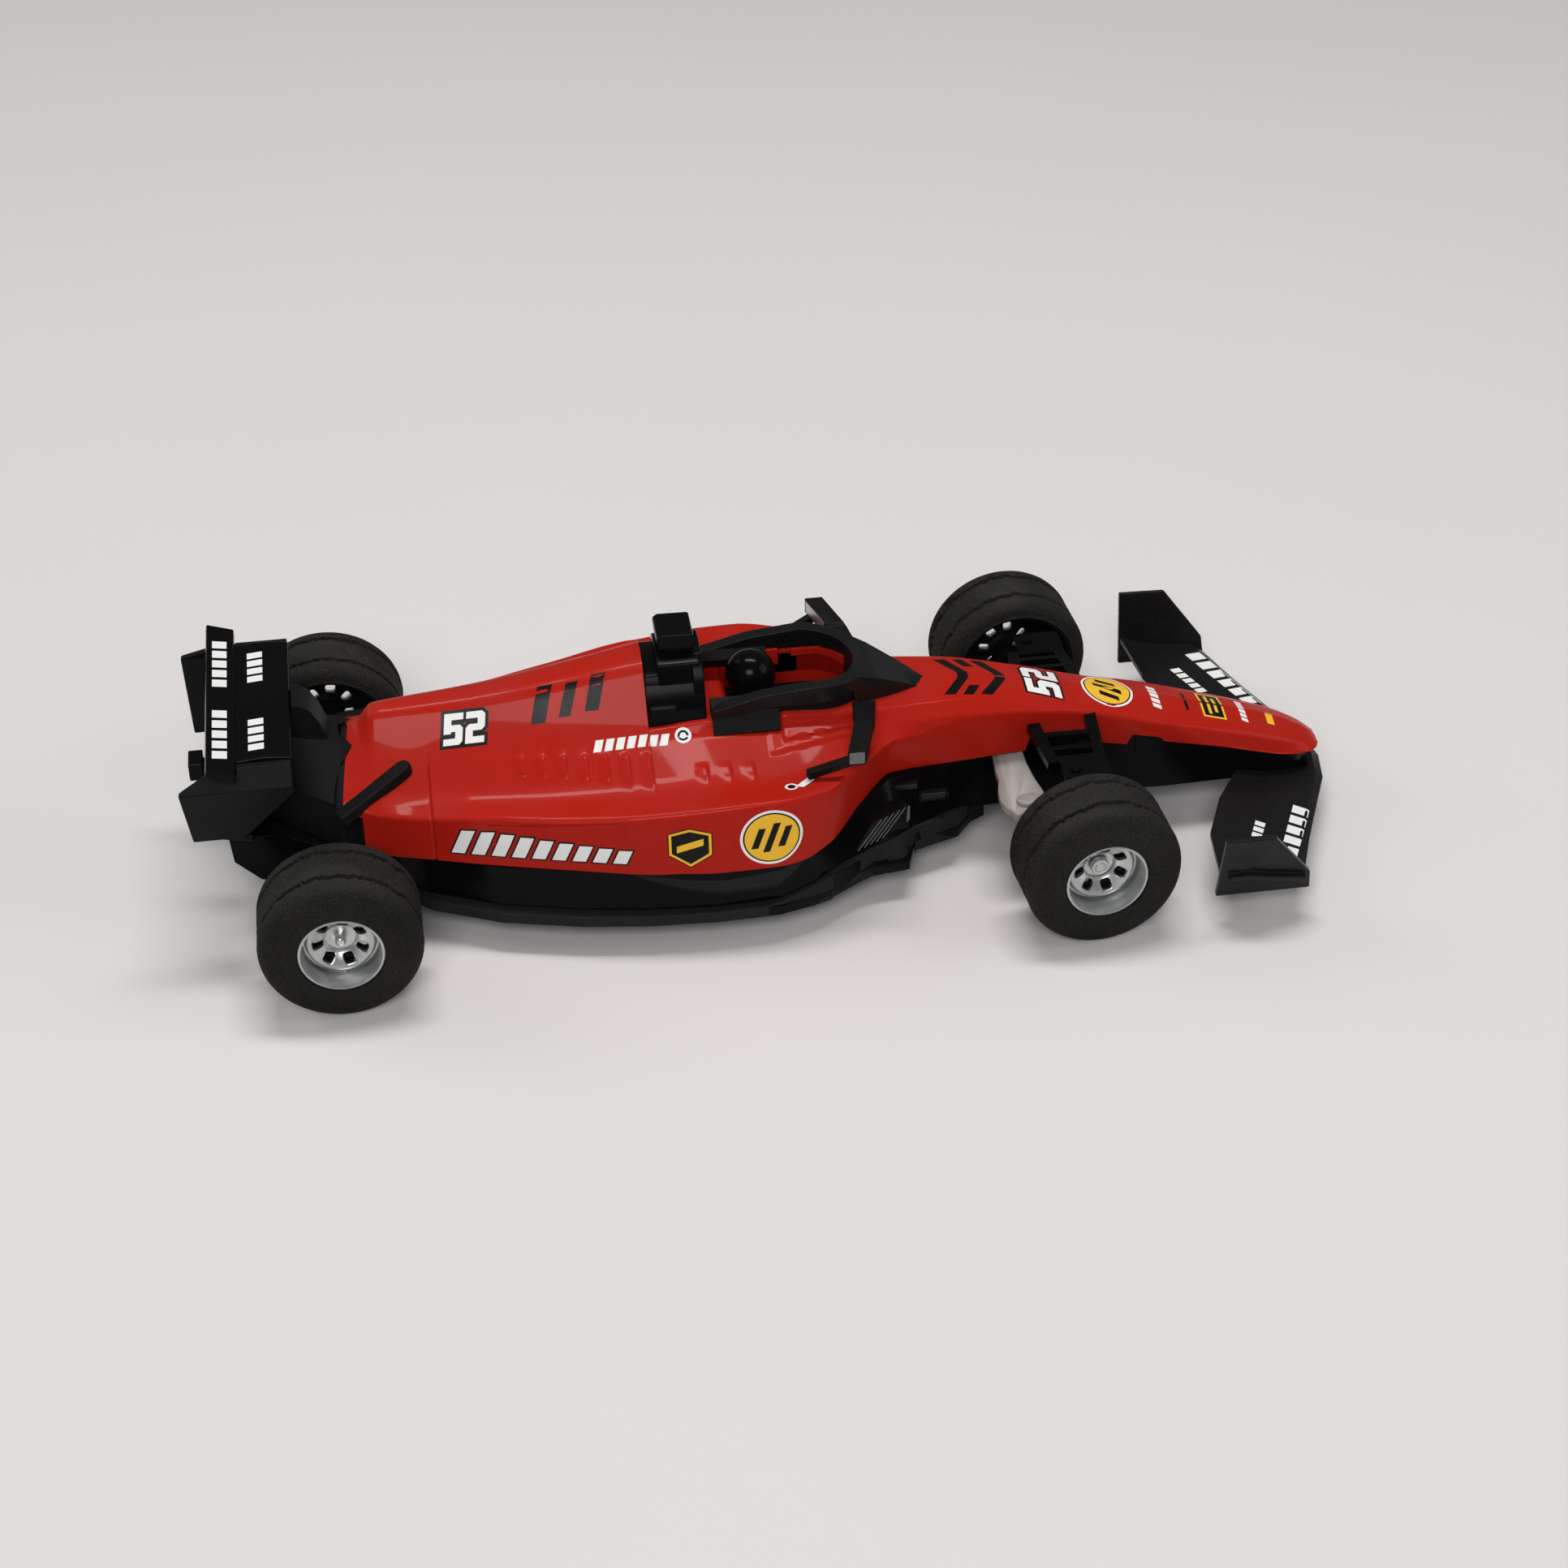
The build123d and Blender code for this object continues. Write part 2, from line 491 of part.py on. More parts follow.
# ---- front suspension and steering ----------------------------------------------------------
PIN_R = 0.9
LOWER_ARM_Z = (7.0, 8.4)
LOWER_FEET = (39.0, 50.0)
ARM_ROOT = 4.0
ARM_EYE_R = 1.9
UPPER_EYE_Z = (19.2, 20.6)
UPPER_EYE = ((42.5, 49.9), (14.6, 20.1))    # the block round the upper pin: x, half width
UPPER_ROOT = (4.4, 21.3)    # half width and mid height of the upper arms' inner end
UPPER_T = 1.3
# The upper arms and their two cross bars, in plan: x range at the root and at the block.
UPPER_OUTER = ((39.0, 50.4), (40.8, 49.8))
UPPER_INNER = ((41.0, 48.6), (42.6, 48.0))
UPPER_OPEN = ((3.0, 8.8), (9.8, 11.9), (12.9, 14.2))
KNUCKLE_Z = (8.8, 18.8)
KNUCKLE = (4.4, 3.4)
PIN_Z = (6.8, 21.0)
STEER_ARM_Z = (12.2, 13.7)
LINK_PIN_R = 0.8
LINK_PIN_TOP_Z = 16.2
DRUM_R = 5.0
DRUM_Y = (2.6, 5.2)         # the drum's faces, outwards from the kingpin
STUB_START = 0.6
STUB_HEAD = (12.8, 13.8)
STUB_HEAD_R = 1.4


def steer_plane(way, height):
    """Plane at the kingpin, turned with the wheel: local x forward, y to the left."""
    return Plane(origin=(FRONT_AXLE_X, way * KINGPIN_Y, height)).rotated((0, 0, STEER_REST))


def axle_plane(origin, steer, way):
    """Plane through an axle: local x runs outwards along it, local y is up."""
    turn = radians(steer)
    forward = (way * cos(turn), way * sin(turn), 0)
    outward = (-way * sin(turn), way * cos(turn), 0)
    return Plane(origin=origin, x_dir=outward, z_dir=forward)


for side, way in SIDES:
    eye = Vector(FRONT_AXLE_X, way * KINGPIN_Y, 0)
    with BuildPart() as front_arms:
        with BuildSketch(Plane.XY.offset(LOWER_ARM_Z[0])):
            for foot in LOWER_FEET:
                with BuildLine():
                    Polyline((foot - 1.3, way * ARM_ROOT), (foot + 1.3, way * ARM_ROOT),
                             (eye.X + 1.3, eye.Y), (eye.X - 1.3, eye.Y), close=True)
                make_face()
            with Locations((eye.X, eye.Y)):
                Circle(ARM_EYE_R)
        extrude(amount=LOWER_ARM_Z[1] - LOWER_ARM_Z[0])
        (x0, x1), (w0, w1) = UPPER_EYE
        with BuildSketch(Plane.XY.offset(UPPER_EYE_Z[0])):
            with Locations(((x0 + x1) / 2, way * (w0 + w1) / 2)):
                RectangleRounded(x1 - x0, w1 - w0, 0.8)
        extrude(amount=UPPER_EYE_Z[1] - UPPER_EYE_Z[0])
        root_w, root_z = UPPER_ROOT
        fall = (sum(UPPER_EYE_Z) / 2 - root_z) / (w0 - root_w)
        slope = Plane(origin=(0, way * root_w, root_z), x_dir=(1, 0, 0), z_dir=(0, -way * fall, 1))

        def across(ends, w):
            """Corners at half width w, between the root's x range and the block's."""
            part = (w - root_w) / (w0 + 1.0 - root_w)
            return [(a + (b - a) * part, way * (w - root_w)) for a, b in zip(*ends)]

        frame = across(UPPER_OUTER, root_w) + across(UPPER_OUTER, w0 + 1.0)[::-1]
        extrude(face(slope, frame), amount=UPPER_T / 2, both=True)
        for start, stop in UPPER_OPEN:
            hole = across(UPPER_INNER, start) + across(UPPER_INNER, stop)[::-1]
            extrude(face(slope, hole), amount=UPPER_T, both=True, mode=Mode.SUBTRACT)
        with Locations(eye + Vector(0, 0, sum(PIN_Z) / 2)):
            Cylinder(PIN_R + RUN_GAP, PIN_Z[1] - PIN_Z[0] + 4, mode=Mode.SUBTRACT)
        add(base_pan.part, mode=Mode.SUBTRACT)
        add(body_shell.part, mode=Mode.SUBTRACT)
    finish(front_arms, f"front_arms_{side}")

for side, way in SIDES:
    centre = (FRONT_AXLE_X, way * KINGPIN_Y, TYRE_R)
    plane = axle_plane(centre, STEER_REST, way)
    axis = Axis(centre, plane.x_dir)
    with BuildPart() as stub_axle:
        with BuildSketch(plane):
            with BuildLine():
                Polyline((STUB_START, 0), (STUB_START, AXLE_R), (STUB_HEAD[0], AXLE_R),
                         (STUB_HEAD[0], STUB_HEAD_R), (STUB_HEAD[1], STUB_HEAD_R),
                         (STUB_HEAD[1], 0), close=True)
            make_face()
        revolve(axis=axis)
    finish(stub_axle, f"stub_axle_{side}")
    with BuildPart() as knuckle:
        with BuildSketch(steer_plane(way, KNUCKLE_Z[0])):
            Rectangle(*KNUCKLE)
        extrude(amount=KNUCKLE_Z[1] - KNUCKLE_Z[0])
        with BuildSketch(plane):
            with BuildLine():
                Polyline((0, 0), (0, 2.4), (DRUM_Y[0], 2.4), (DRUM_Y[0], DRUM_R),
                         (DRUM_Y[1], DRUM_R), (DRUM_Y[1], 0), close=True)
            make_face()
        revolve(axis=axis)
        with BuildSketch(steer_plane(way, PIN_Z[0])):
            Circle(PIN_R)
        extrude(amount=PIN_Z[1] - PIN_Z[0])
        with BuildSketch(steer_plane(way, STEER_ARM_Z[0])):
            with Locations((-STEER_ARM / 2, 0)):
                SlotCenterToCenter(STEER_ARM, 2.4)
        extrude(amount=STEER_ARM_Z[1] - STEER_ARM_Z[0])
        with BuildSketch(steer_plane(way, STEER_ARM_Z[0])):
            with Locations((-STEER_ARM, 0)):
                Circle(LINK_PIN_R)
        extrude(amount=LINK_PIN_TOP_Z - STEER_ARM_Z[0])
        add(stub_axle.part, mode=Mode.SUBTRACT)
    finish(knuckle, f"knuckle_{side}")

LINK_PIN_X = FRONT_AXLE_X - STEER_ARM * cos(radians(STEER_REST))
LINK_SHIFT = -STEER_ARM * sin(radians(STEER_REST))
# Outline of half the link in plan with the wheels straight, from the rear edge of its
# middle round its outer end to the front edge of its middle: x, half width.
LINK_EDGE = ((34.6, 4.6), (34.1, 12.0), (33.5, 18.6), (34.4, 20.6), (36.8, 21.0),
             (39.4, 19.8), (40.6, 15.4), (39.4, 5.0))
with BuildPart() as steering_link:
    around = [(x, -w) for x, w in LINK_EDGE] + [(x, w) for x, w in reversed(LINK_EDGE)]
    outline = [(x, y + LINK_SHIFT) for x, y in around]
    extrude(face(Plane.XY.offset(LINK_Z), outline), amount=LINK_T)
    fillet(steering_link.edges().filter_by(Axis.Z), 0.6)
    with BuildSketch(Plane.XY.offset(LINK_Z)):
        with Locations(*[(LINK_PIN_X, way * KINGPIN_Y + LINK_SHIFT) for _, way in SIDES]):
            SlotOverall(3.2, 1.9)
    extrude(amount=LINK_T, mode=Mode.SUBTRACT)
finish(steering_link, "steering_link")

# ---- wheels -----------------------------------------------------------------------------------
# All depths are measured in from the tyre's outer face.
LIP_IN = 0.4                # the rim's lip
LIP_T = 0.5
DISC_IN = 3.6               # the disc's edge, at the foot of the rim's inner wall
DISC_R = 5.5
HUB_IN = 4.9                # the disc falls to the hub's face
HUB_R = 1.9
DISC_T = 1.0
RIM_WALL = 0.7
HOLE_COUNT = 7
HOLE = 1.6                  # side of a square hole with rounded corners
HOLE_ROUND = 0.45
HOLE_RING_R = 3.45
HOLE_TURN = 9.4             # degrees from the top to the first hole
SHOULDER = 2.2              # rounding of a tyre's edges
DOME = 0.35                 # how far a tyre's side wall bulges between shoulder and rim


def wheel(names, origin, steer, way, face_out, width, bore):
    """Rim and tyre on an axle; face_out is the tyre's outer face from the origin."""
    plane = axle_plane(origin, steer, way)
    axis = Axis(origin, plane.x_dir)
    back = face_out - width
    rim_name, tyre_name = names
    with BuildPart() as rim:
        with BuildSketch(plane):
            with BuildLine():
                Polyline((back + 0.8, RIM_R), (face_out - LIP_IN, RIM_R),
                         (face_out - LIP_IN, RIM_R - LIP_T), (face_out - DISC_IN, DISC_R),
                         (face_out - HUB_IN, HUB_R), (face_out - HUB_IN, bore),
                         (back + 1.2, bore), (back + 1.2, HUB_R),
                         (face_out - HUB_IN - DISC_T, HUB_R),
                         (face_out - DISC_IN - DISC_T, DISC_R),
                         (back + 0.8, RIM_R - RIM_WALL), close=True)
            make_face()
        revolve(axis=axis)
        outward = plane.x_dir
        holes = Plane(origin=Vector(*origin) + outward * face_out, x_dir=(0, 0, 1),
                      z_dir=outward)
        with BuildSketch(holes):
            with PolarLocations(HOLE_RING_R, HOLE_COUNT, start_angle=way * HOLE_TURN):
                RectangleRounded(HOLE, HOLE, HOLE_ROUND)
        extrude(amount=-HUB_IN - 2 * DISC_T, mode=Mode.SUBTRACT)
    finish(rim, rim_name)
    outer, inner = face_out - DOME, back + DOME
    bend = SHOULDER * (1 - cos(radians(45)))
    with BuildPart() as tyre:
        with BuildSketch(plane):
            with BuildLine():
                Line((inner + SHOULDER, TYRE_R), (outer - SHOULDER, TYRE_R))
                ThreePointArc((outer - SHOULDER, TYRE_R), (outer - bend, TYRE_R - bend),
                              (outer, TYRE_R - SHOULDER))
                Polyline((outer, TYRE_R - SHOULDER), (face_out, RIM_R + 1.4),
                         (face_out, RIM_R), (back, RIM_R), (back, RIM_R + 1.4),
                         (inner, TYRE_R - SHOULDER))
                ThreePointArc((inner, TYRE_R - SHOULDER), (inner + bend, TYRE_R - bend),
                              (inner + SHOULDER, TYRE_R))
            make_face()
        revolve(axis=axis)
    finish(tyre, tyre_name)


for side, way in SIDES:
    wheel((f"front_rim_{side}", f"front_tyre_{side}"),
          (FRONT_AXLE_X, way * KINGPIN_Y, TYRE_R), STEER_REST, way,
          FRONT_FACE_Y - KINGPIN_Y, FRONT_TYRE_W, AXLE_R + RUN_GAP)
    wheel((f"rear_rim_{side}", f"rear_tyre_{side}"), (REAR_AXLE_X, 0, TYRE_R), 0, way,
          REAR_FACE_Y, REAR_TYRE_W, AXLE_R)

AXLE_HALF = 31.9
with BuildPart() as rear_axle:
    with Locations(Plane(origin=(REAR_AXLE_X, 0, TYRE_R), z_dir=(0, 1, 0))):
        Cylinder(AXLE_R, 2 * AXLE_HALF)
finish(rear_axle, "rear_axle")
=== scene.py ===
import json
import math

import bmesh
import bpy
import numpy as np
from bpy.props import FloatProperty, FloatVectorProperty, IntProperty, PointerProperty
from bpy.types import NodeSocket, Operator, Panel, PropertyGroup
from mathutils import Matrix, Vector, noise
from mathutils.bvhtree import BVHTree


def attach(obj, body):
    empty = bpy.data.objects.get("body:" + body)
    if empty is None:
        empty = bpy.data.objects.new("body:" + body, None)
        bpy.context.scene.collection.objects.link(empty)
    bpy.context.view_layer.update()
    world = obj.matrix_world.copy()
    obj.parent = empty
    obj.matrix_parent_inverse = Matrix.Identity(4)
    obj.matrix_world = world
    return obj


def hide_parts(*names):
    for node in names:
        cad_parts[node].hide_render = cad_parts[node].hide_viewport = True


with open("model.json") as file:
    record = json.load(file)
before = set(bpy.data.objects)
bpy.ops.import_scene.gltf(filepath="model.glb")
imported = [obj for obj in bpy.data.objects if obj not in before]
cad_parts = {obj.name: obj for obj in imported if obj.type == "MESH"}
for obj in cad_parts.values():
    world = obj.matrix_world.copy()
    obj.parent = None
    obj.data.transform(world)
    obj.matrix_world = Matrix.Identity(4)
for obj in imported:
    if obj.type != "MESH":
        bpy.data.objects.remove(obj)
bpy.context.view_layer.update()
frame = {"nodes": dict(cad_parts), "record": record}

bl_info = {
    "name": "Toy racing car finish",
    "version": (1, 0, 0),
    "blender": (4, 5, 0),
    "location": "View3D > Sidebar > Toy Car",
    "description": "Dresses the packed die-cast racing car: casting, mouldings, wheels and prints",
    "category": "Object",
}

MM = 0.001

# ---- named values of this car, in millimetres -------------------------------------------------
REAR_AXLE_X, FRONT_AXLE_X = -67.5, 44.5
TYRE_R, RIM_R = 12.1, 6.5
KINGPIN_Y = 18.0
STEER_REST = 4.6
SIDES = (("left", 1), ("right", -1))

# Sections of the red casting from tail to nose: x, half width of the lower edge, then half
# width and height of the ridge, the channel inside it, the waist and the top edge.
CASTING = (
    (-65.4, 11.4, (11.8, 21.4), (10.4, 23.0), (5.2, 25.8), (1.2, 28.0)),
    (-62.6, 12.4, (12.8, 21.0), (10.6, 23.0), (5.4, 26.3), (1.4, 28.6)),
    (-60.2, 13.1, (13.6, 20.8), (10.6, 22.8), (5.6, 26.8), (1.7, 31.2)),
    (-57.0, 14.0, (14.6, 20.8), (10.6, 22.4), (5.6, 27.0), (2.0, 31.5)),
    (-45.0, 17.8, (18.2, 21.8), (13.5, 22.6), (6.6, 28.0), (2.4, 32.6)),
    (-32.0, 21.4, (21.8, 22.6), (16.5, 23.0), (8.0, 28.4), (3.0, 34.6)),
    (-20.0, 24.4, (24.2, 23.8), (18.5, 23.6), (9.4, 28.6), (3.6, 36.8)),
    (-19.3, 24.5, (24.25, 23.85), (18.55, 23.65), (9.5, 28.6), (3.7, 36.9)),
    (-19.2, 24.5, (24.25, 23.85), (18.55, 23.65), (9.7, 28.0), (8.5, 28.6)),
    (-10.5, 25.4, (24.9, 24.5), (19.0, 24.0), (10.0, 27.6), (8.9, 29.2)),
    (-2.0, 25.2, (24.8, 24.8), (18.5, 23.6), (9.6, 27.2), (8.8, 29.2)),
    (6.0, 21.8, (22.4, 24.6), (16.5, 23.4), (9.2, 26.8), (8.7, 28.8)),
    (12.0, 14.5, (16.5, 24.2), (13.0, 23.8), (8.9, 26.4), (8.2, 28.2)),
    (18.0, 8.8, (10.6, 23.6), (9.8, 24.4), (8.7, 25.8), (7.2, 27.6)),
    (28.0, 7.4, (8.3, 22.6), (8.3, 24.0), (8.0, 25.4), (6.0, 27.2)),
    (40.0, 6.0, (6.5, 20.5), (6.7, 22.4), (6.6, 24.0), (4.6, 25.2)),
    (50.0, 5.3, (5.5, 18.5), (5.6, 20.3), (5.4, 21.8), (3.8, 22.7)),
    (60.0, 6.2, (6.2, 16.5), (6.1, 17.8), (5.8, 19.2), (4.0, 20.0)),
    (70.0, 6.2, (6.1, 14.0), (5.8, 15.2), (5.4, 16.3), (3.7, 17.1)),
    (80.0, 5.8, (5.6, 11.0), (5.2, 12.0), (4.7, 13.2), (3.0, 13.9)),
    (85.6, 4.5, (4.4, 9.9), (4.0, 10.3), (3.3, 10.9), (2.0, 11.4)),
    (87.3, 3.2, (3.1, 9.4), (2.8, 9.6), (2.3, 9.9), (1.4, 10.2)),
    (88.0, 1.8, (1.7, 9.3), (1.5, 9.35), (1.2, 9.4), (0.8, 9.5)),
)
NOSE_X = 88.0
# Parting line of casting and base, from tail to nose: x, z.
PARTING = ((-66.0, 13.0), (3.0, 13.0), (17.0, 16.5), (39.4, 16.2), (40.2, 19.0),
           (49.6, 18.2), (50.4, 16.0), (55.6, 15.4), (56.6, 18.0), (60.4, 17.4),
           (61.4, 15.6), (72.0, 13.3), (80.0, 10.9), (84.0, 9.9), (90.0, 9.3))
# The same line of the base under it, where the nose hangs over: x, z, half width.
CHIN = ((57.0, 14.0, 5.9), (61.4, 14.3, 6.05), (72.0, 11.7, 5.95), (80.0, 9.7, 5.6),
        (83.6, 8.7, 4.8), (85.4, 8.2, 3.6))
# Corner radii along the casting: x, ridge, channel, waist, top edge, and the top's crown.
ROUNDING = ((-66.0, 0.5, 2.0, 2.5, 0.8, 0.4), (-58.0, 0.6, 3.0, 2.5, 1.2, 0.5),
            (-30.0, 1.2, 4.0, 3.0, 1.6, 0.6),
            (-19.25, 1.2, 3.0, 2.5, 1.6, 0.6), (-19.15, 1.2, 2.5, 0.6, 0.4, 0.0),
            (2.0, 1.0, 2.0, 0.35, 0.4, 0.0), (14.0, 0.9, 1.2, 0.4, 0.4, 0.2),
            (22.0, 0.6, 0.6, 0.5, 0.35, 0.6), (60.0, 0.6, 0.6, 0.5, 0.35, 0.7),
            (80.0, 0.7, 0.6, 0.6, 0.5, 0.7), (88.0, 0.2, 0.2, 0.2, 0.2, 0.2))
# Rows of gills: x of the first, count, spacing, then the inner and outer half width at the
# first gill and the same at the last.
GILL_ROWS = ((-40.2, 7, 3.1, (9.0, 11.9), (12.4, 17.3)),
             (-13.6, 3, 3.5, (14.6, 17.4), (14.6, 17.6)))
# Where a gill rises and falls, as shares of its step, and how far its inner and outer end slope.
GILL_RISE, GILL_FALL, GILL_ENDS = (0.06, 0.5), (0.72, 0.12), (0.8, 0.5)
SEAM_X, SEAM_SPREAD, SEAM_START = -52.6, 0.16, (7.0, 1.5)
# Shallow hollow low in the flank: its ends, their slopes, its depth, then how far its top and
# its foot lie under the ridge and their slopes.
HOLLOW_X, HOLLOW_ENDS, HOLLOW_DEPTH = (-47.5, -24.0), (4, 1.2), 0.8
HOLLOW_TOP, HOLLOW_FOOT = (0.9, 0.5), (4.6, 3.2)
TAIL_X = -65.4
TAIL_BEND_X, TAIL_BEND = -62.6, (2.8, 1.4, 1.6, 11.5)   # behind this x the tail is bowed
TAIL_CUT = (-62.9, 20.2)        # the casting is cut away behind this x, below this z
# Crease beside the cockpit, rear and front end: x and half width of the two small steps, then
# their height; how their ends and their edge slope.
LEDGES = (((0.6, 11.8), (12.6, 9.4), 0.42), ((-1.6, 13.9), (11.6, 10.5), 0.22))
LEDGE_ENDS, LEDGE_SLOPE = (0.35, 1.5), 0.3
# Spacing of the casting's stations: in general, over the gills, beside the cockpit and round the
# seam; then how many points each straight run of a section gets.
STATION, GILL_STATION, COCKPIT_STATION = 0.6, 0.25, 0.4
SEAM_STATIONS = (-0.5, -0.3, -0.15, 0, 0.15, 0.3, 0.5)
SECTION_POINTS = (1, 9, 14, 16, 14, 6)


def length(label, value, told, precision=5):
    """A length setting with its default in millimetres."""
    return FloatProperty(name=label, description=told, default=value * MM, min=0, unit="LENGTH",
                         precision=precision)


class CarSizes(PropertyGroup):
    """Sizes of the car's fine detail."""
    edge_round: length("Edge rounding", 0.22, "Rounding of a moulding's edges")
    gill_height: length("Gill height", 0.34, "How far a gill stands up")
    seam_depth: length("Seam depth", 0.28, "Depth of the panel seam")
    groove_depth: length("Tyre groove depth", 1.1, "Depth of the two grooves round a tyre")
    print_lift: length("Print thickness", 0.02, "Height of a layer of ink", 6)
    rim_holes: IntProperty(name="Rim holes", description="Holes round each wheel disc",
                           default=7, min=3, max=16)


def colour(label, value, told):
    """A colour setting with its default."""
    return FloatVectorProperty(name=label, description=told, default=value, size=3,
                               subtype="COLOR", min=0, max=1)


class CarColours(PropertyGroup):
    """Colours of the car's finishes."""
    enamel: colour("Enamel", (0.40, 0.0125, 0.0058), "Red enamel of the casting")
    gloss_black: colour("Gloss black", (0.0026, 0.0026, 0.0027), "Smooth black plastic")
    grained_black: colour("Grained black", (0.0036, 0.0036, 0.0036), "Textured black plastic")
    matt_black: colour("Matt black", (0.0095, 0.0097, 0.0097), "Dull black plastic")
    rubber: colour("Tyre", (0.0076, 0.0073, 0.0064), "Foam-like tyre rubber")
    plating: colour("Plating", (0.56, 0.575, 0.565), "Vacuum plating of the rims")
    steel: colour("Steel", (0.60, 0.60, 0.60), "Drawn steel wire")
    # The nylon's white is darkened to a grey, partly painted shade of the link under the nose.
    nylon: colour("Nylon", (0.31, 0.295, 0.27), "Natural white nylon")
    white_ink: colour("White ink", (0.82, 0.82, 0.80), "White print")
    yellow_ink: colour("Yellow ink", (0.86, 0.48, 0.035), "Yellow print")
    black_ink: colour("Black ink", (0.004, 0.004, 0.004), "Black print")
    floor: colour("Floor", (0.715, 0.690, 0.678), "Pale table under the car")


def sizes():
    return bpy.context.scene.car_sizes


def colours():
    return bpy.context.scene.car_colours


# ---- shader groups and materials --------------------------------------------------------------
def place(tree, kind, inputs=None, **settings):
    """One node with its settings; an input that is a socket gets joined to it."""
    made = tree.nodes.new(kind)
    for key, value in settings.items():
        setattr(made, key, value)
    for key, value in (inputs or {}).items():
        if isinstance(value, NodeSocket):
            tree.links.new(value, made.inputs[key])
        else:
            made.inputs[key].default_value = value
    return made


def sum_of(tree, operation, a, b):
    """Result of one arithmetic node."""
    return place(tree, "ShaderNodeMath", {0: a, 1: b}, operation=operation).outputs[0]


def new_group(label, inputs, outputs):
    """A shader node group with named sockets; returns its tree, entry and exit."""
    tree = bpy.data.node_groups.new(label, "ShaderNodeTree")
    for name, kind, value in inputs:
        socket = tree.interface.new_socket(name, in_out="INPUT", socket_type=kind)
        socket.default_value = value
    for name, kind in outputs:
        tree.interface.new_socket(name, in_out="OUTPUT", socket_type=kind)
    return tree, tree.nodes.new("NodeGroupInput"), tree.nodes.new("NodeGroupOutput")


def shared(label, build):
    """A node group by its name, built the first time it's asked for."""
    return bpy.data.node_groups.get(label) or build(label)


def surface_grain(label):
    """Fine relief of a moulded, painted or foamed surface, lighter on its raised points: flecks of
    tone and painted glints.
    """
    tree, entry, leave = new_group(label, (
        ("Size", "NodeSocketFloat", 0.0004), ("Depth", "NodeSocketFloat", 0.00002),
        ("Detail", "NodeSocketFloat", 3.0)),
        (("Normal", "NodeSocketVector"), ("Fleck", "NodeSocketFloat")))
    where = place(tree, "ShaderNodeTexCoord").outputs["Object"]
    rate = sum_of(tree, "DIVIDE", 1.0, entry.outputs["Size"])
    bumps = place(tree, "ShaderNodeTexNoise",
                  {"Vector": where, "Scale": rate, "Detail": entry.outputs["Detail"],
                   "Roughness": 0.6})
    relief = place(tree, "ShaderNodeBump",
                   {"Height": bumps.outputs["Fac"], "Distance": entry.outputs["Depth"],
                    "Strength": 1.0})
    fleck_and_glint = place(tree, "ShaderNodeMapRange",
                  {"Value": bumps.outputs["Fac"], "From Min": 0.42, "From Max": 0.68})
    tree.links.new(relief.outputs["Normal"], leave.inputs["Normal"])
    tree.links.new(fleck_and_glint.outputs["Result"], leave.inputs["Fleck"])
    return tree


def handling(label):
    """Marks of handling: broad smudges, and dust settled on flat tops."""
    tree, entry, leave = new_group(
        label, (("Patch", "NodeSocketFloat", 0.012),),
        (("Smudge", "NodeSocketFloat"), ("Settled", "NodeSocketFloat")))
    where = place(tree, "ShaderNodeTexCoord").outputs["Object"]
    patch = sum_of(tree, "DIVIDE", 1.0, entry.outputs["Patch"])
    broad = place(tree, "ShaderNodeTexNoise",
                  {"Vector": where, "Scale": patch, "Detail": 4.0, "Distortion": 0.6})
    smudge = place(tree, "ShaderNodeMapRange",
                   {"Value": broad.outputs["Fac"], "From Min": 0.35, "From Max": 0.75})
    facing = place(tree, "ShaderNodeSeparateXYZ",
                   {0: place(tree, "ShaderNodeNewGeometry").outputs["Normal"]})
    upward = place(tree, "ShaderNodeMapRange",
                   {"Value": facing.outputs["Z"], "From Min": 0.35, "From Max": 1.0})
    settled = sum_of(tree, "MULTIPLY", upward.outputs["Result"], smudge.outputs["Result"])
    tree.links.new(smudge.outputs["Result"], leave.inputs["Smudge"])
    tree.links.new(settled, leave.inputs["Settled"])
    return tree


def blend(tree, amount, low, high):
    """Colour mixed from low to high by a mask."""
    mixed = place(tree, "ShaderNodeMix", {0: amount}, data_type="RGBA")
    for socket, value in ((mixed.inputs[6], low), (mixed.inputs[7], high)):
        if isinstance(value, NodeSocket):
            tree.links.new(value, socket)
        else:
            socket.default_value = (*value, 1.0)
    return mixed.outputs[2]


def between(tree, mask, low, high):
    """Number mapped from a mask's 0..1 to low..high."""
    return place(tree, "ShaderNodeMapRange",
                 {"Value": mask, "To Min": low, "To Max": high}).outputs["Result"]


def scaled(rgb, factor):
    return tuple(min(1.0, c * factor) for c in rgb)
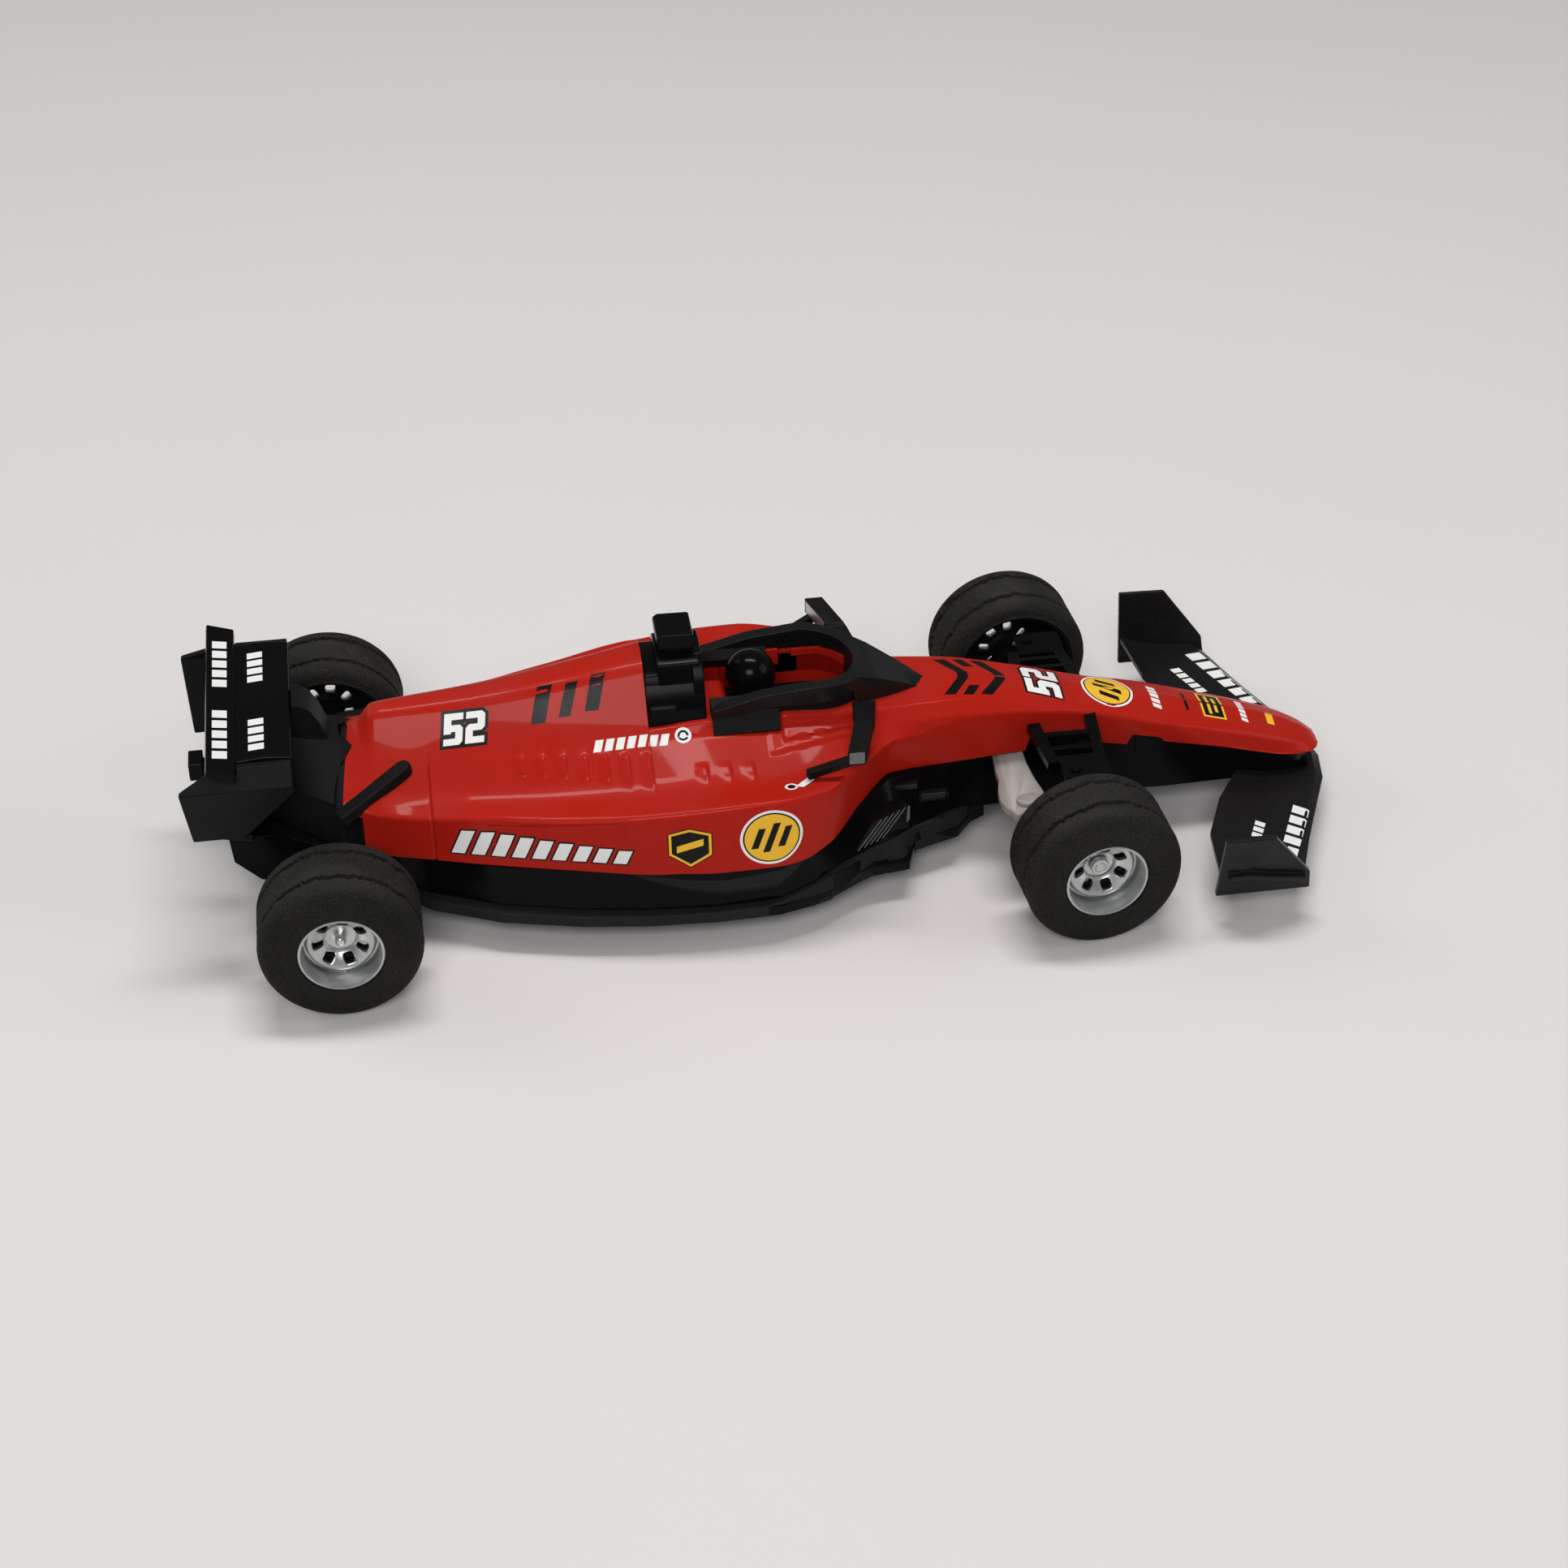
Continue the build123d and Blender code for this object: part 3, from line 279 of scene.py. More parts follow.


# Label, colour setting and factor on it, size, depth and fleck share of the grain (lighter flecks,
# partly painted glints), range of roughness, share of smudges and of dust, then what else the
# shader holds.
FINISHES = {
    "enamel": ("Red enamel", "enamel", 1.0, (0.9, 0.008, 0.10), (0.30, 0.42), 0.22, 0.02,
               {"Coat Weight": 0.09, "Coat Roughness": 0.05, "Specular IOR Level": 0.05}),
    "gloss_black": ("Gloss black plastic", "gloss_black", 1.0, (0.5, 0.006, 0.2), (0.12, 0.26),
                    0.3, 0.003, {"Specular IOR Level": 0.08}),
    "satin_black": ("Satin black plastic", "grained_black", 1.5, (0.3, 0.02, 0.5), (0.24, 0.38),
                    0.3, 0.005, {"Specular IOR Level": 0.2}),
    "grained_black": ("Grained black plastic", "grained_black", 1.0, (0.20, 0.07, 0.8),
                      (0.42, 0.60), 0.4, 0.008, {"Specular IOR Level": 0.10}),
    "matt_black": ("Matt black plastic", "matt_black", 1.0, (0.25, 0.05, 0.5), (0.6, 0.75),
                   0.4, 0.01, {"Specular IOR Level": 0.12}),
    # Matt black lightened tenfold to pale grey: a painted highlight on the vane ribs and the vane
    # plate's edge, and the grey end faces of the mirrors.
    "pale_grey_black": ("Black plastic with rubbed edges", "matt_black", 10.0, (0.2, 0.02, 0.4),
                     (0.3, 0.45), 0.3, 0.02, {}),
    "rubber": ("Foamed tyre rubber", "rubber", 1.0, (0.30, 0.22, 0.95), (0.72, 0.9), 0.5, 0.062,
               {"Specular IOR Level": 0.17}),
    "plating": ("Vacuum plating", "plating", 1.0, (1.6, 0.004, 0.05), (0.32, 0.42), 0.25, 0.02,
                {"Metallic": 1.0}),
    "steel": ("Drawn steel", "steel", 1.0, (0.3, 0.01, 0.2), (0.22, 0.38), 0.3, 0.02,
              {"Metallic": 1.0}),
    "nylon": ("Natural nylon", "nylon", 1.0, (0.5, 0.01, 0.1), (0.35, 0.5), 0.15, 0.06,
              {"Subsurface Weight": 0.3, "Subsurface Scale": 0.0015}),
    **{f"{ink}_ink": (f"{ink.title()} print", f"{ink}_ink", 1.0, (0.25, 0.006, 0.15), (0.28, 0.42),
                      0.12, 0.02, {"Specular IOR Level": 0.15})
       for ink in ("white", "yellow", "black")},
}
DUST = (0.42, 0.40, 0.37)
GLINT_FLECKED, STRONG_GLINT_FLECKS, WEAK_GLINT_FLECKS = 0.3, 3.2, 1.5    # share above which the lighter flecks, partly painted glints, are strong
SMUDGED = 0.7


def finish(look):
    """Material of a finish: colour with flecks, smudges and settled dust, and its own relief."""
    label, setting, factor, grain, rough, marks, dust, plain = FINISHES[look]
    found = bpy.data.materials.get(label)
    if found:
        return found
    rgb = scaled(getattr(colours(), setting), factor)
    size, depth, fleck_and_glint = grain
    made = bpy.data.materials.new(label)
    made.use_nodes = True
    tree = made.node_tree
    shader = tree.nodes["Principled BSDF"]
    relief = place(tree, "ShaderNodeGroup", node_tree=shared("Surface grain", surface_grain))
    relief.inputs["Size"].default_value = size * MM
    relief.inputs["Depth"].default_value = depth * MM
    worn = place(tree, "ShaderNodeGroup", node_tree=shared("Handling marks", handling))
    tone = rgb
    # Lighter flecks on the grain's raised points, partly painted glints; darker smudges; dust on
    # upward faces.
    for mask, share, other in (
            (relief.outputs["Fleck"], fleck_and_glint,
             scaled(rgb, STRONG_GLINT_FLECKS if fleck_and_glint > GLINT_FLECKED else WEAK_GLINT_FLECKS)),
            (worn.outputs["Smudge"], marks, scaled(rgb, SMUDGED)),
            (worn.outputs["Settled"], dust, DUST)):
        tone = blend(tree, sum_of(tree, "MULTIPLY", mask, share), tone, other)
    tree.links.new(tone, shader.inputs["Base Color"])
    tree.links.new(between(tree, worn.outputs["Smudge"], *rough), shader.inputs["Roughness"])
    tree.links.new(relief.outputs["Normal"], shader.inputs["Normal"])
    for key, value in plain.items():
        shader.inputs[key].default_value = value
    return made


# ---- mesh helpers -----------------------------------------------------------------------------
def linked(name, data):
    """New object in the scene."""
    made = bpy.data.objects.new(name, data)
    bpy.context.scene.collection.objects.link(made)
    return made


def dressed(name, mesh, look, body="chassis", replaces=(), slot=None):
    """Object from a mesh, with its finish, its body and the CAD nodes it stands for."""
    piece = linked(name, mesh)
    mesh.materials.clear()
    mesh.materials.append(finish(look))
    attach(piece, body)
    if replaces:
        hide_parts(*replaces)


def finished_mesh(bm, name, angle=32.0, turn=True):
    """Mesh from a bmesh, faces outwards, smooth but for edges sharper than the angle."""
    if turn:
        bmesh.ops.recalc_face_normals(bm, faces=bm.faces)
    mesh = bpy.data.meshes.new(name)
    bm.to_mesh(mesh)
    bm.free()
    mesh.shade_smooth()
    mesh.set_sharp_from_angle(angle=math.radians(angle))
    return mesh


def baked(name, helper):
    """Mesh of a helper object as its modifiers leave it; the helper goes."""
    bpy.context.view_layer.update()
    result = bpy.data.meshes.new_from_object(
        helper.evaluated_get(bpy.context.evaluated_depsgraph_get()))
    result.name = name
    bpy.data.objects.remove(helper)
    return result


def applied(name, mesh, kind, **settings):
    """The mesh as one modifier leaves it."""
    helper = linked(name, mesh)
    modifier = helper.modifiers.new(kind.title(), kind)
    for key, value in settings.items():
        setattr(modifier, key, value)
    return baked(name, helper)


def rounded(name, mesh, width=None, segments=2, angle=28.0):
    """The mesh with the edges sharper than the angle rounded as a mould leaves them."""
    return applied(name, mesh, "BEVEL", width=sizes().edge_round if width is None else width * MM,
                   segments=segments, limit_method="ANGLE", angle_limit=math.radians(angle),
                   harden_normals=True, use_clamp_overlap=True)


def cut_by(name, mesh, cutter):
    """The mesh with the closed forms of a bmesh taken away."""
    tool = linked("cutter", finished_mesh(cutter, "cutter"))
    result = applied(name, mesh, "BOOLEAN", object=tool, operation="DIFFERENCE", solver="EXACT")
    bpy.data.objects.remove(tool)
    return result


def body_of(node):
    """Name of the body that holds a CAD node."""
    bodies = frame["record"]["behaviour"]["bodies"]
    return next(name for name, nodes in bodies.items() if node in nodes)


def softened(node, look, width=None, slot=None):
    """A CAD node with its loose triangles merged and its edges rounded; it replaces the node."""
    bm = bmesh.new()
    bm.from_mesh(frame["nodes"][node].data)
    bmesh.ops.remove_doubles(bm, verts=bm.verts, dist=0.002 * MM)
    bmesh.ops.dissolve_limit(bm, angle_limit=math.radians(1.0), verts=bm.verts, edges=bm.edges)
    name = f"{node}_moulding"
    dressed(name, rounded(name, finished_mesh(bm, name, turn=False), width), look, body_of(node),
            (node,), slot)


def table_at(rows, x):
    """Columns of a table of numbers at many x, by monotone cubic curves."""
    rows = np.asarray(rows, float)
    xs, ys = rows[:, 0], rows[:, 1:]
    step = np.diff(xs)
    slope = np.diff(ys, axis=0) / step[:, None]
    tangent = np.zeros_like(ys)
    tangent[0], tangent[-1] = slope[0], slope[-1]
    before, after = slope[:-1], slope[1:]
    w1 = (2 * step[1:] + step[:-1])[:, None]
    w2 = (step[1:] + 2 * step[:-1])[:, None]
    same = before * after > 0
    safe = np.where(same, before, 1.0), np.where(same, after, 1.0)
    tangent[1:-1] = np.where(same, (w1 + w2) / (w1 / safe[0] + w2 / safe[1]), 0.0)
    i = np.clip(np.searchsorted(xs, x, side="right") - 1, 0, len(xs) - 2)
    h = step[i][:, None]
    t = ((x - xs[i]) / step[i])[:, None]
    return ((2 * t**3 - 3 * t**2 + 1) * ys[i] + (t**3 - 2 * t**2 + t) * h * tangent[i]
            + (3 * t**2 - 2 * t**3) * ys[i + 1] + (t**3 - t**2) * h * tangent[i + 1])


def rounded_line(corners, radii, straight, bend=5):
    """Points along a line through corners with rounded bends, for many sections at once.

    corners is (sections, corners, 2); straight gives the points on each straight run.
    """
    count = corners.shape[1]
    runs = np.diff(corners, axis=1)
    length = np.linalg.norm(runs, axis=2)
    along = runs / np.maximum(length, 1e-9)[..., None]
    cut = np.zeros(corners.shape[:2])
    for c in range(1, count - 1):
        cut[:, c] = np.minimum(radii[:, c], 0.45 * np.minimum(length[:, c - 1], length[:, c]))
    points = []
    for c in range(count):
        if 0 < c < count - 1:
            enter = corners[:, c] - along[:, c - 1] * cut[:, c, None]
            leave = corners[:, c] + along[:, c] * cut[:, c, None]
            for t in np.linspace(0, 1, bend):
                points.append((1 - t)**2 * enter + 2 * t * (1 - t) * corners[:, c] + t**2 * leave)
        else:
            leave = corners[:, c]
            points.append(leave)
        if c < count - 1:
            arrive = corners[:, c + 1] - along[:, c] * cut[:, c + 1, None]
            for t in np.linspace(0, 1, straight[c] + 2)[1:-1]:
                points.append((1 - t) * leave + t * arrive)
    return np.stack(points, axis=1)


def grid_faces(bm, grid, closed=True, caps=True, wrap=False):
    """Faces through a grid of points in mm; closed joins each section's ends."""
    verts = [[bm.verts.new(Vector(p) * MM) for p in row] for row in grid]
    if wrap:
        verts.append(verts[0])
    for a, b in zip(verts, verts[1:]):
        for j in range(len(a) if closed else len(a) - 1):
            k = (j + 1) % len(a)
            bm.faces.new((a[j], a[k], b[k], b[j]))
    if caps and not wrap:
        bm.faces.new(verts[0][::-1])
        bm.faces.new(verts[-1])


def lofted(name, grid, look):
    """Piece of the chassis through a grid of points in mm."""
    bm = bmesh.new()
    grid_faces(bm, grid)
    dressed(name, finished_mesh(bm, name), look)


def prisms(*rows, axis="Z", put=None):
    """Closed prisms in one bmesh; each is an outline in mm and two distances along the axis.

    put, when given, turns outline and distance into a place instead.
    """
    bm = bmesh.new()
    spots = {"Z": lambda a, b, c: (a, b, c), "Y": lambda a, b, c: (a, c, b),
             "X": lambda a, b, c: (c, a, b)}
    spot = put or spots[axis]
    for outline, low, high in rows:
        base = [bm.verts.new(Vector(spot(a, b, low)) * MM) for a, b in outline]
        top = [bm.verts.new(Vector(spot(a, b, high)) * MM) for a, b in outline]
        bm.faces.new(base)
        bm.faces.new(top)
        for i in range(len(outline)):
            k = (i + 1) % len(outline)
            bm.faces.new((base[i], base[k], top[k], top[i]))
    return bm


def box(x0, x1, y0, y1):
    """Outline of a rectangle."""
    return [(x0, y0), (x1, y0), (x1, y1), (x0, y1)]


def both_sides(half):
    """Outline across the car from its left half."""
    return [*half, *((-w, z) for w, z in reversed(half))]


def mirrored(point, way):
    """Place or direction given for the left side, on the side wanted."""
    return Vector((point[0], way * point[1], point[2]))


def moulded(name, bm, look, width=None, replaces=()):
    """Piece of the chassis from a bmesh, with its edges rounded."""
    dressed(name, rounded(name, finished_mesh(bm, name), width), look, "chassis", replaces)


def columns_at(rows, x):
    """Every further column of a table of numbers at x, by straight lines."""
    rows = np.asarray(rows, float)
    return [np.interp(x, rows[:, 0], column) for column in rows[:, 1:].T]


# ---- red casting ------------------------------------------------------------------------------
def casting_grid():
    """Points of the red casting in mm: stations from tail to nose, points round each."""
    x = set(np.arange(TAIL_X, NOSE_X, STATION).round(3)) | {row[0] for row in CASTING}
    for start, count, step, *_ in GILL_ROWS:
        x |= set(np.arange(start - 1, start + count * step + 1, GILL_STATION).round(3))
    x |= {round(SEAM_X + d, 3) for d in SEAM_STATIONS}
    x |= set(np.arange(-2, 14, COCKPIT_STATION).round(3))
    for foot, _ in PARTING[1:-1]:
        x |= {foot - 0.05, foot + 0.05}
    x = np.array(sorted(x))
    x = x[(x >= TAIL_X) & (x <= NOSE_X)]
    col = table_at([[*row[:2], *(v for pair in row[2:] for v in pair)] for row in CASTING], x)
    parting, = columns_at(PARTING, x)
    radii = np.array(columns_at(ROUNDING, x)).T
    corners = np.stack([np.stack([col[:, 0] - 1.2, parting], 1),
                        np.stack([col[:, 0], parting], 1), col[:, 1:3], col[:, 3:5],
                        col[:, 5:7], col[:, 7:9],
                        np.stack([0 * x, col[:, 8] + radii[:, 4]], 1)], 1)
    bend = np.zeros(corners.shape[:2])
    bend[:, 1] = 0.25
    bend[:, 2:6] = radii[:, :4]
    half = rounded_line(corners, bend, SECTION_POINTS)
    other = half[:, -2::-1].copy()
    other[..., 0] *= -1
    line = np.concatenate([half, other], axis=1)
    grid = np.empty((*line.shape[:2], 3))
    grid[..., 0] = x[:, None]
    grid[..., 1:] = line
    return grid


def ramp(distance, reach):
    """From 0 to 1 over a reach."""
    return np.clip(distance / reach, 0, 1)


def casting_relief(grid):
    """Raise the gills and ledges, sink the seam and hollow, and bow the tail."""
    along = np.gradient(grid, axis=0)
    across = np.gradient(grid, axis=1)
    normal = np.cross(across, along)
    normal /= np.maximum(np.linalg.norm(normal, axis=2), 1e-9)[..., None]
    x, w, z = grid[..., 0], np.abs(grid[..., 1]), grid[..., 2]
    out = np.zeros(x.shape)
    height = sizes().gill_height / MM
    for start, count, step, first, last in GILL_ROWS:
        turn = (x - start) / step
        inner, outer = (a + (b - a) * ramp(turn, count) for a, b in zip(first, last))
        phase = turn - np.floor(turn)
        tooth = (ramp(phase - GILL_RISE[0], GILL_RISE[1])
                 * ramp(GILL_FALL[0] - phase, GILL_FALL[1]))
        band = ramp(w - inner, GILL_ENDS[0]) * ramp(outer - w, GILL_ENDS[1])
        inside = (turn >= 0) & (turn < count) & (z > 20)
        out += np.where(inside, tooth * band * height, 0)
    for (x0, w0), (x1, w1), height in LEDGES:
        edge = np.interp(x, (x0, x1), (w0, w1))
        ends = ramp(x - x0, LEDGE_ENDS[0]) * ramp(x1 + LEDGE_ENDS[1] - x, LEDGE_ENDS[1])
        out += np.where(z > 22, ramp(edge - w, LEDGE_SLOPE) * ends * height, 0)
    hollow = ramp(x - HOLLOW_X[0], HOLLOW_ENDS[0]) * ramp(HOLLOW_X[1] - x, HOLLOW_ENDS[1])
    ridge = np.interp(x, [row[0] for row in CASTING], [row[2][1] for row in CASTING])
    depth = (ramp(ridge - HOLLOW_TOP[0] - z, HOLLOW_TOP[1])
             * ramp(z - (ridge - HOLLOW_FOOT[0]), HOLLOW_FOOT[1]))
    out -= np.where(w > 12, hollow * depth * HOLLOW_DEPTH, 0)
    seam = np.exp(-((x - SEAM_X) / SEAM_SPREAD)**2) * ramp(w - SEAM_START[0], SEAM_START[1])
    out -= seam * sizes().seam_depth / MM
    reach, middle, drop, wide = TAIL_BEND
    grid = grid + normal * out[..., None]
    grid[..., 0] += ramp(TAIL_BEND_X - x, reach) * (middle - drop * ramp(w, wide))
    return grid


# The cockpit opening: x of its rear and front end and of the shelf behind the driver, half
# width, floor, height of the shelf; then the red rim's thickness, top and rear end.
COCKPIT = {"back": -9.6, "front": 13.5, "seat": -6.7, "half": 7.2, "floor": 20.5, "shelf": 27.0,
           "collar": 0.7, "collar_top": 30.2, "collar_back": 0.2}
# Rail and rest beside the driver: outline in half width and height, rear and front end.
RESTS = ((((6.7, 29.2), (7.3, 29.0), (7.3, 30.5), (6.8, 30.5)), 4.6, 9.4),
         (((6.4, 28.2), (7.3, 27.4), (7.3, 30.8), (6.7, 30.8)), 0.3, 2.6))


def opening(grow=0.0, back=None):
    """Outline of the cockpit opening in plan, grown outwards, with its round front."""
    back = COCKPIT["back"] - grow if back is None else back
    front, half = COCKPIT["front"] + grow, COCKPIT["half"] + grow
    sagitta = half * 1.1
    radius = (half**2 + sagitta**2) / (2 * sagitta)
    reach = math.asin(half / radius)
    reach = math.pi - reach if sagitta > radius else reach
    arc = [(front - radius + radius * math.cos(a), radius * math.sin(a))
           for a in np.linspace(-reach, reach, 25)]
    return [(back, -half), *arc, (back, half)]


def casting_cutter():
    """What is cut out of the casting: cockpit, shelf behind the driver and under the tail."""
    half, seat = COCKPIT["half"], COCKPIT["seat"]
    tail, tail_top = TAIL_CUT
    return prisms((opening(back=seat), COCKPIT["floor"], 50),
                  (box(COCKPIT["back"], seat - 0.01, -half, half), COCKPIT["shelf"], 50),
                  (box(tail - 9, tail, -20, 20), 5, tail_top))


def band(bm, inner, outer, low, high):
    """Closed band between two open outlines of as many points, between two heights."""
    loops = [[bm.verts.new(Vector((x, y, z)) * MM) for x, y in line]
             for line, z in ((inner, low), (outer, low), (outer, high), (inner, high))]
    for i in range(len(inner) - 1):
        for a, b in zip(loops, loops[1:] + loops[:1]):
            bm.faces.new((a[i], a[i + 1], b[i + 1], b[i]))
    bm.faces.new([line[0] for line in loops])
    bm.faces.new([line[-1] for line in loops])


class TOYCAR_OT_casting(Operator):
    """Make the red die-cast body with its creases, gills, seam and cockpit"""
    bl_idname = "toycar.casting"
    bl_label = "Red casting"

    def execute(self, context):
        bm = bmesh.new()
        grid_faces(bm, casting_relief(casting_grid()))
        mesh = cut_by("red_casting", finished_mesh(bm, "casting", 38.0), casting_cutter())
        mesh.set_sharp_from_angle(angle=math.radians(38))
        dressed("red_casting", mesh, "enamel", "chassis", ("body_shell",))
        bm = prisms(*(([(way * w, z) for w, z in outline], *ends)
                      for _, way in SIDES for outline, *ends in RESTS), axis="X")
        back = COCKPIT["collar_back"]
        band(bm, opening(back=back), opening(COCKPIT["collar"], back), 26.0,
             COCKPIT["collar_top"])
        moulded("cockpit_rim", bm, "enamel", 0.18)
        return {"FINISHED"}


# ---- prints -----------------------------------------------------------------------------------
# Digits as closed outlines in a box six wide and ten high.
DIGITS = {
    "5": ((0, 3.6), (0, 10), (6, 10), (6, 7.9), (2.3, 7.9), (2.3, 6.3), (5, 6.3), (6, 5.3), (6, 1),
          (5, 0), (0, 0), (0, 2.1), (3.7, 2.1), (3.7, 4.2), (2.3, 4.2), (2.3, 3.6)),
    "2": ((0, 0), (0, 5), (1, 6.1), (3.7, 6.1), (3.7, 7.9), (0, 7.9), (0, 10), (5, 10), (6, 9),
          (6, 5), (5, 4), (2.3, 4), (2.3, 2.1), (6, 2.1), (6, 0)),
}
DIGIT_PITCH, DIGIT_GAP, DIGIT_LEAN = 6.9, 0.9, 0.14


def turned_outline(points, width=1.0, height=1.0, lean=0.0, shift=(0, 0)):
    """Outline scaled, leaning to one side by a share of its height, and shifted."""
    return [(x * width + y * height * lean + shift[0], y * height + shift[1]) for x, y in points]


def grown(points, by):
    """Outline moved outwards by a distance, with mitred corners."""
    area = sum(a[0] * b[1] - b[0] * a[1] for a, b in zip(points, points[1:] + points[:1]))
    way = 1 if area > 0 else -1
    result = []
    for i, here in enumerate(points):
        before, after = Vector(points[i - 1]), Vector(points[(i + 1) % len(points)])
        d0 = (Vector(here) - before).normalized()
        d1 = (after - Vector(here)).normalized()
        n0, n1 = Vector((d0.y, -d0.x)) * way, Vector((d1.y, -d1.x)) * way
        middle = (n0 + n1) / max(0.35, 1 + n0.dot(n1))
        result.append(tuple(Vector(here) + middle * by))
    return result


def race_number(text, height, line=0.5):
    """White digits with a black line round them, centred on their place."""
    k = height / 10
    shapes = []
    total = len(text) * DIGIT_PITCH - DIGIT_GAP
    for i, digit in enumerate(text):
        left = (i * DIGIT_PITCH - total / 2) * k - height * (DIGIT_LEAN / 2)
        spot = turned_outline(DIGITS[digit], k, k, DIGIT_LEAN, (left, -height / 2))
        shapes.append(("black", grown(spot, line), 1))
        shapes.append(("white", spot, 2))
    return shapes


def ring(radius, count=44):
    """Outline of a disc."""
    return [(radius * math.cos(a), radius * math.sin(a))
            for a in (2 * math.pi * i / count for i in range(count))]


def roundel(radius):
    """White-edged yellow disc with three leaning bars."""
    shapes = [("white", ring(radius), 1), ("black", ring(radius * 0.91), 2),
              ("yellow", ring(radius * 0.86), 3)]
    for at, half in ((-0.42, 0.36), (0.0, 0.52), (0.42, 0.36)):
        bar = box(at - 0.11, at + 0.11, -half, half)
        shapes.append(("black", turned_outline(bar, radius, radius, 0.35), 4))
    return shapes


def blocks(length, height, count, lean=0.3, line=0.0, fall=0.0, gap=0.28):
    """Row of leaning blocks, each lower than the last by a share, centred on its place."""
    shapes = []
    pitch = length / count
    for i in range(count):
        tall = height * (1 - fall * i / max(1, count - 1))
        x0 = -length / 2 + i * pitch
        block = turned_outline(box(x0, x0 + pitch * (1 - gap), 0, tall), 1, 1, lean,
                               (-lean * height / 2, -height / 2))
        if line:
            shapes.append(("black", grown(block, line), 1))
        shapes.append(("white", block, 2))
    return shapes


def shield(width, height):
    """Six-sided black badge with a yellow edge and one yellow stripe."""
    w, h = width / 2, height / 2
    shape = [(-w, h * 0.75), (0, h), (w, h * 0.75), (w, -h * 0.35), (0, -h), (-w, -h * 0.35)]
    side = w * 0.62
    stripe = [(-side, -h * 0.25), (-side, h * 0.1), (side, h * 0.5), (side, h * 0.15)]
    return [("black", grown(shape, 0.12), 1), ("yellow", grown(shape, -0.05), 2),
            ("black", grown(shape, -0.45), 3), ("yellow", stripe, 4)]


def plate(width, height):
    """Yellow plate with a black field and two short yellow bars in it."""
    def field(w, h, y=0.0):
        return box(-w / 2, w / 2, y - h / 2, y + h / 2)

    return [("yellow", field(width, height), 1), ("black", field(width - 0.7, height - 0.7), 2),
            ("yellow", field(width - 1.6, 0.5, 0.55), 3),
            ("yellow", field(width - 2.6, 0.5, -0.55), 3)]


def rings(*discs):
    """White and black discs on each other, each a radius and its points."""
    return [(("white", "black")[i % 2], ring(*disc), i + 1) for i, disc in enumerate(discs)]


UP, BACK, ACROSS = (0, 0, 1), (-1, 0, 0), (0, 1, 0)
# Plain shapes on top, as seen from above (+X to the right): ink, then points in the car's x and
# half width. The slots are the same on both sides.
DARK_SLOTS = (((-35.2, 2.5), (-32.9, 2.6), (-34.5, 6.4), (-36.7, 6.2)),
              ((-30.9, 3.0), (-29.1, 3.1), (-30.7, 6.3), (-32.5, 6.2)),
              ((-27.0, 2.7), (-24.8, 2.9), (-26.4, 6.4), (-28.5, 6.2)))
PATCHES = (*(("black", [(x, way * w) for x, w in slot]) for way in (1, -1) for slot in DARK_SLOTS),
           ("black", ((26.6, 4.9), (28.4, 4.9), (31.2, 0.7), (31.2, -0.7), (28.4, -4.9),
                      (26.6, -4.9), (29.5, -0.7), (29.5, 0.7))),
           ("black", ((32.4, 4.7), (34.2, 4.7), (37.0, 0.7), (37.0, -0.7), (34.2, -4.7),
                      (32.4, -4.7), (35.3, -0.7), (35.3, 0.7))),
           ("black", ((29.6, 4.9), (31.2, 4.9), (32.6, 2.6), (31.0, 2.6))),
           ("black", ((29.6, -4.9), (31.2, -4.9), (32.6, -2.6), (31.0, -2.6))),
           ("black", box(65.8, 66.3, -2.4, 2.4)), ("yellow", box(79.3, 80.5, -2.2, 0.2)))
# Prints on the nose: what, and its x.
NOSE_PRINTS = ((race_number("52", 5.4, 0.36), 42.8), (roundel(4.1), 53.4),
               (blocks(6.0, 1.3, 5), 61.0), (plate(6.4, 3.8), 70.4), (blocks(5.6, 1.0, 6), 75.4))
# Prints on both sides, for the left one: surface, what, place, the way it faces and upward.
SIDE_PRINTS = (
    ("red_casting", race_number("52", 4.8), (-46.6, 5.0, 29.4), (-0.11, 0.7, 0.7), (0, -0.7, 0.7)),
    ("red_casting", blocks(11.6, 1.9, 7), (-21.8, 10.3, 27.6), (0, 0.6, 0.8), (0, -0.8, 0.6)),
    ("red_casting", rings((1.25, 28), (0.85, 24), (0.5, 20)), (-14.2, 9.9, 27.8), (0, 0.6, 0.8),
     (0, -0.8, 0.6)),
    ("red_casting", shield(6.4, 6.8), (-15.2, 25.0, 17.8), ACROSS, UP),
    ("red_casting", roundel(4.8), (-3.0, 25.2, 18.6), (0.05, 1, 0.06), UP),
    ("red_casting", rings((1.0, 24), (0.62, 20)), (0.7, 20.2, 24.5), UP, (0, -1, 0)),
    ("red_casting", blocks(1.3, 2.8, 1, gap=0, line=0.12), (2.9, 19.4, 24.5), UP, (0.5, -1, 0)),
    ("front_wing_moulding", blocks(17.0, 2.6, 6, lean=0.2), (78.6, 22.0, 12), UP, (-1, -0.45, 0)),
    ("front_wing_moulding", blocks(8.0, 1.6, 5, lean=0.2), (72.8, 21.6, 12), UP, (-1, -0.45, 0)),
    ("rear_wing_moulding", blocks(13.2, 2.1, 5, lean=-0.25), (-82.3, 9.4, 40), UP, BACK),
    ("rear_wing_moulding", blocks(8.6, 2.3, 4, lean=0.0), (-77.1, 9.0, 40), UP, BACK),
)
# Bars along the flank; they lean the same way on both sides.
FLANK_LEAN, FLANK_PLACE = 0.42, ((-36.4, 22.0, 17.2), (-0.2, 1, 0), UP)
PRINT_GRID, PRINT_ROOT = 0.7, 0.04      # size of a print's facets and how far it reaches in
DROP_FROM, DROP_REACH = 12, 30          # where its points start over their place, and how far on


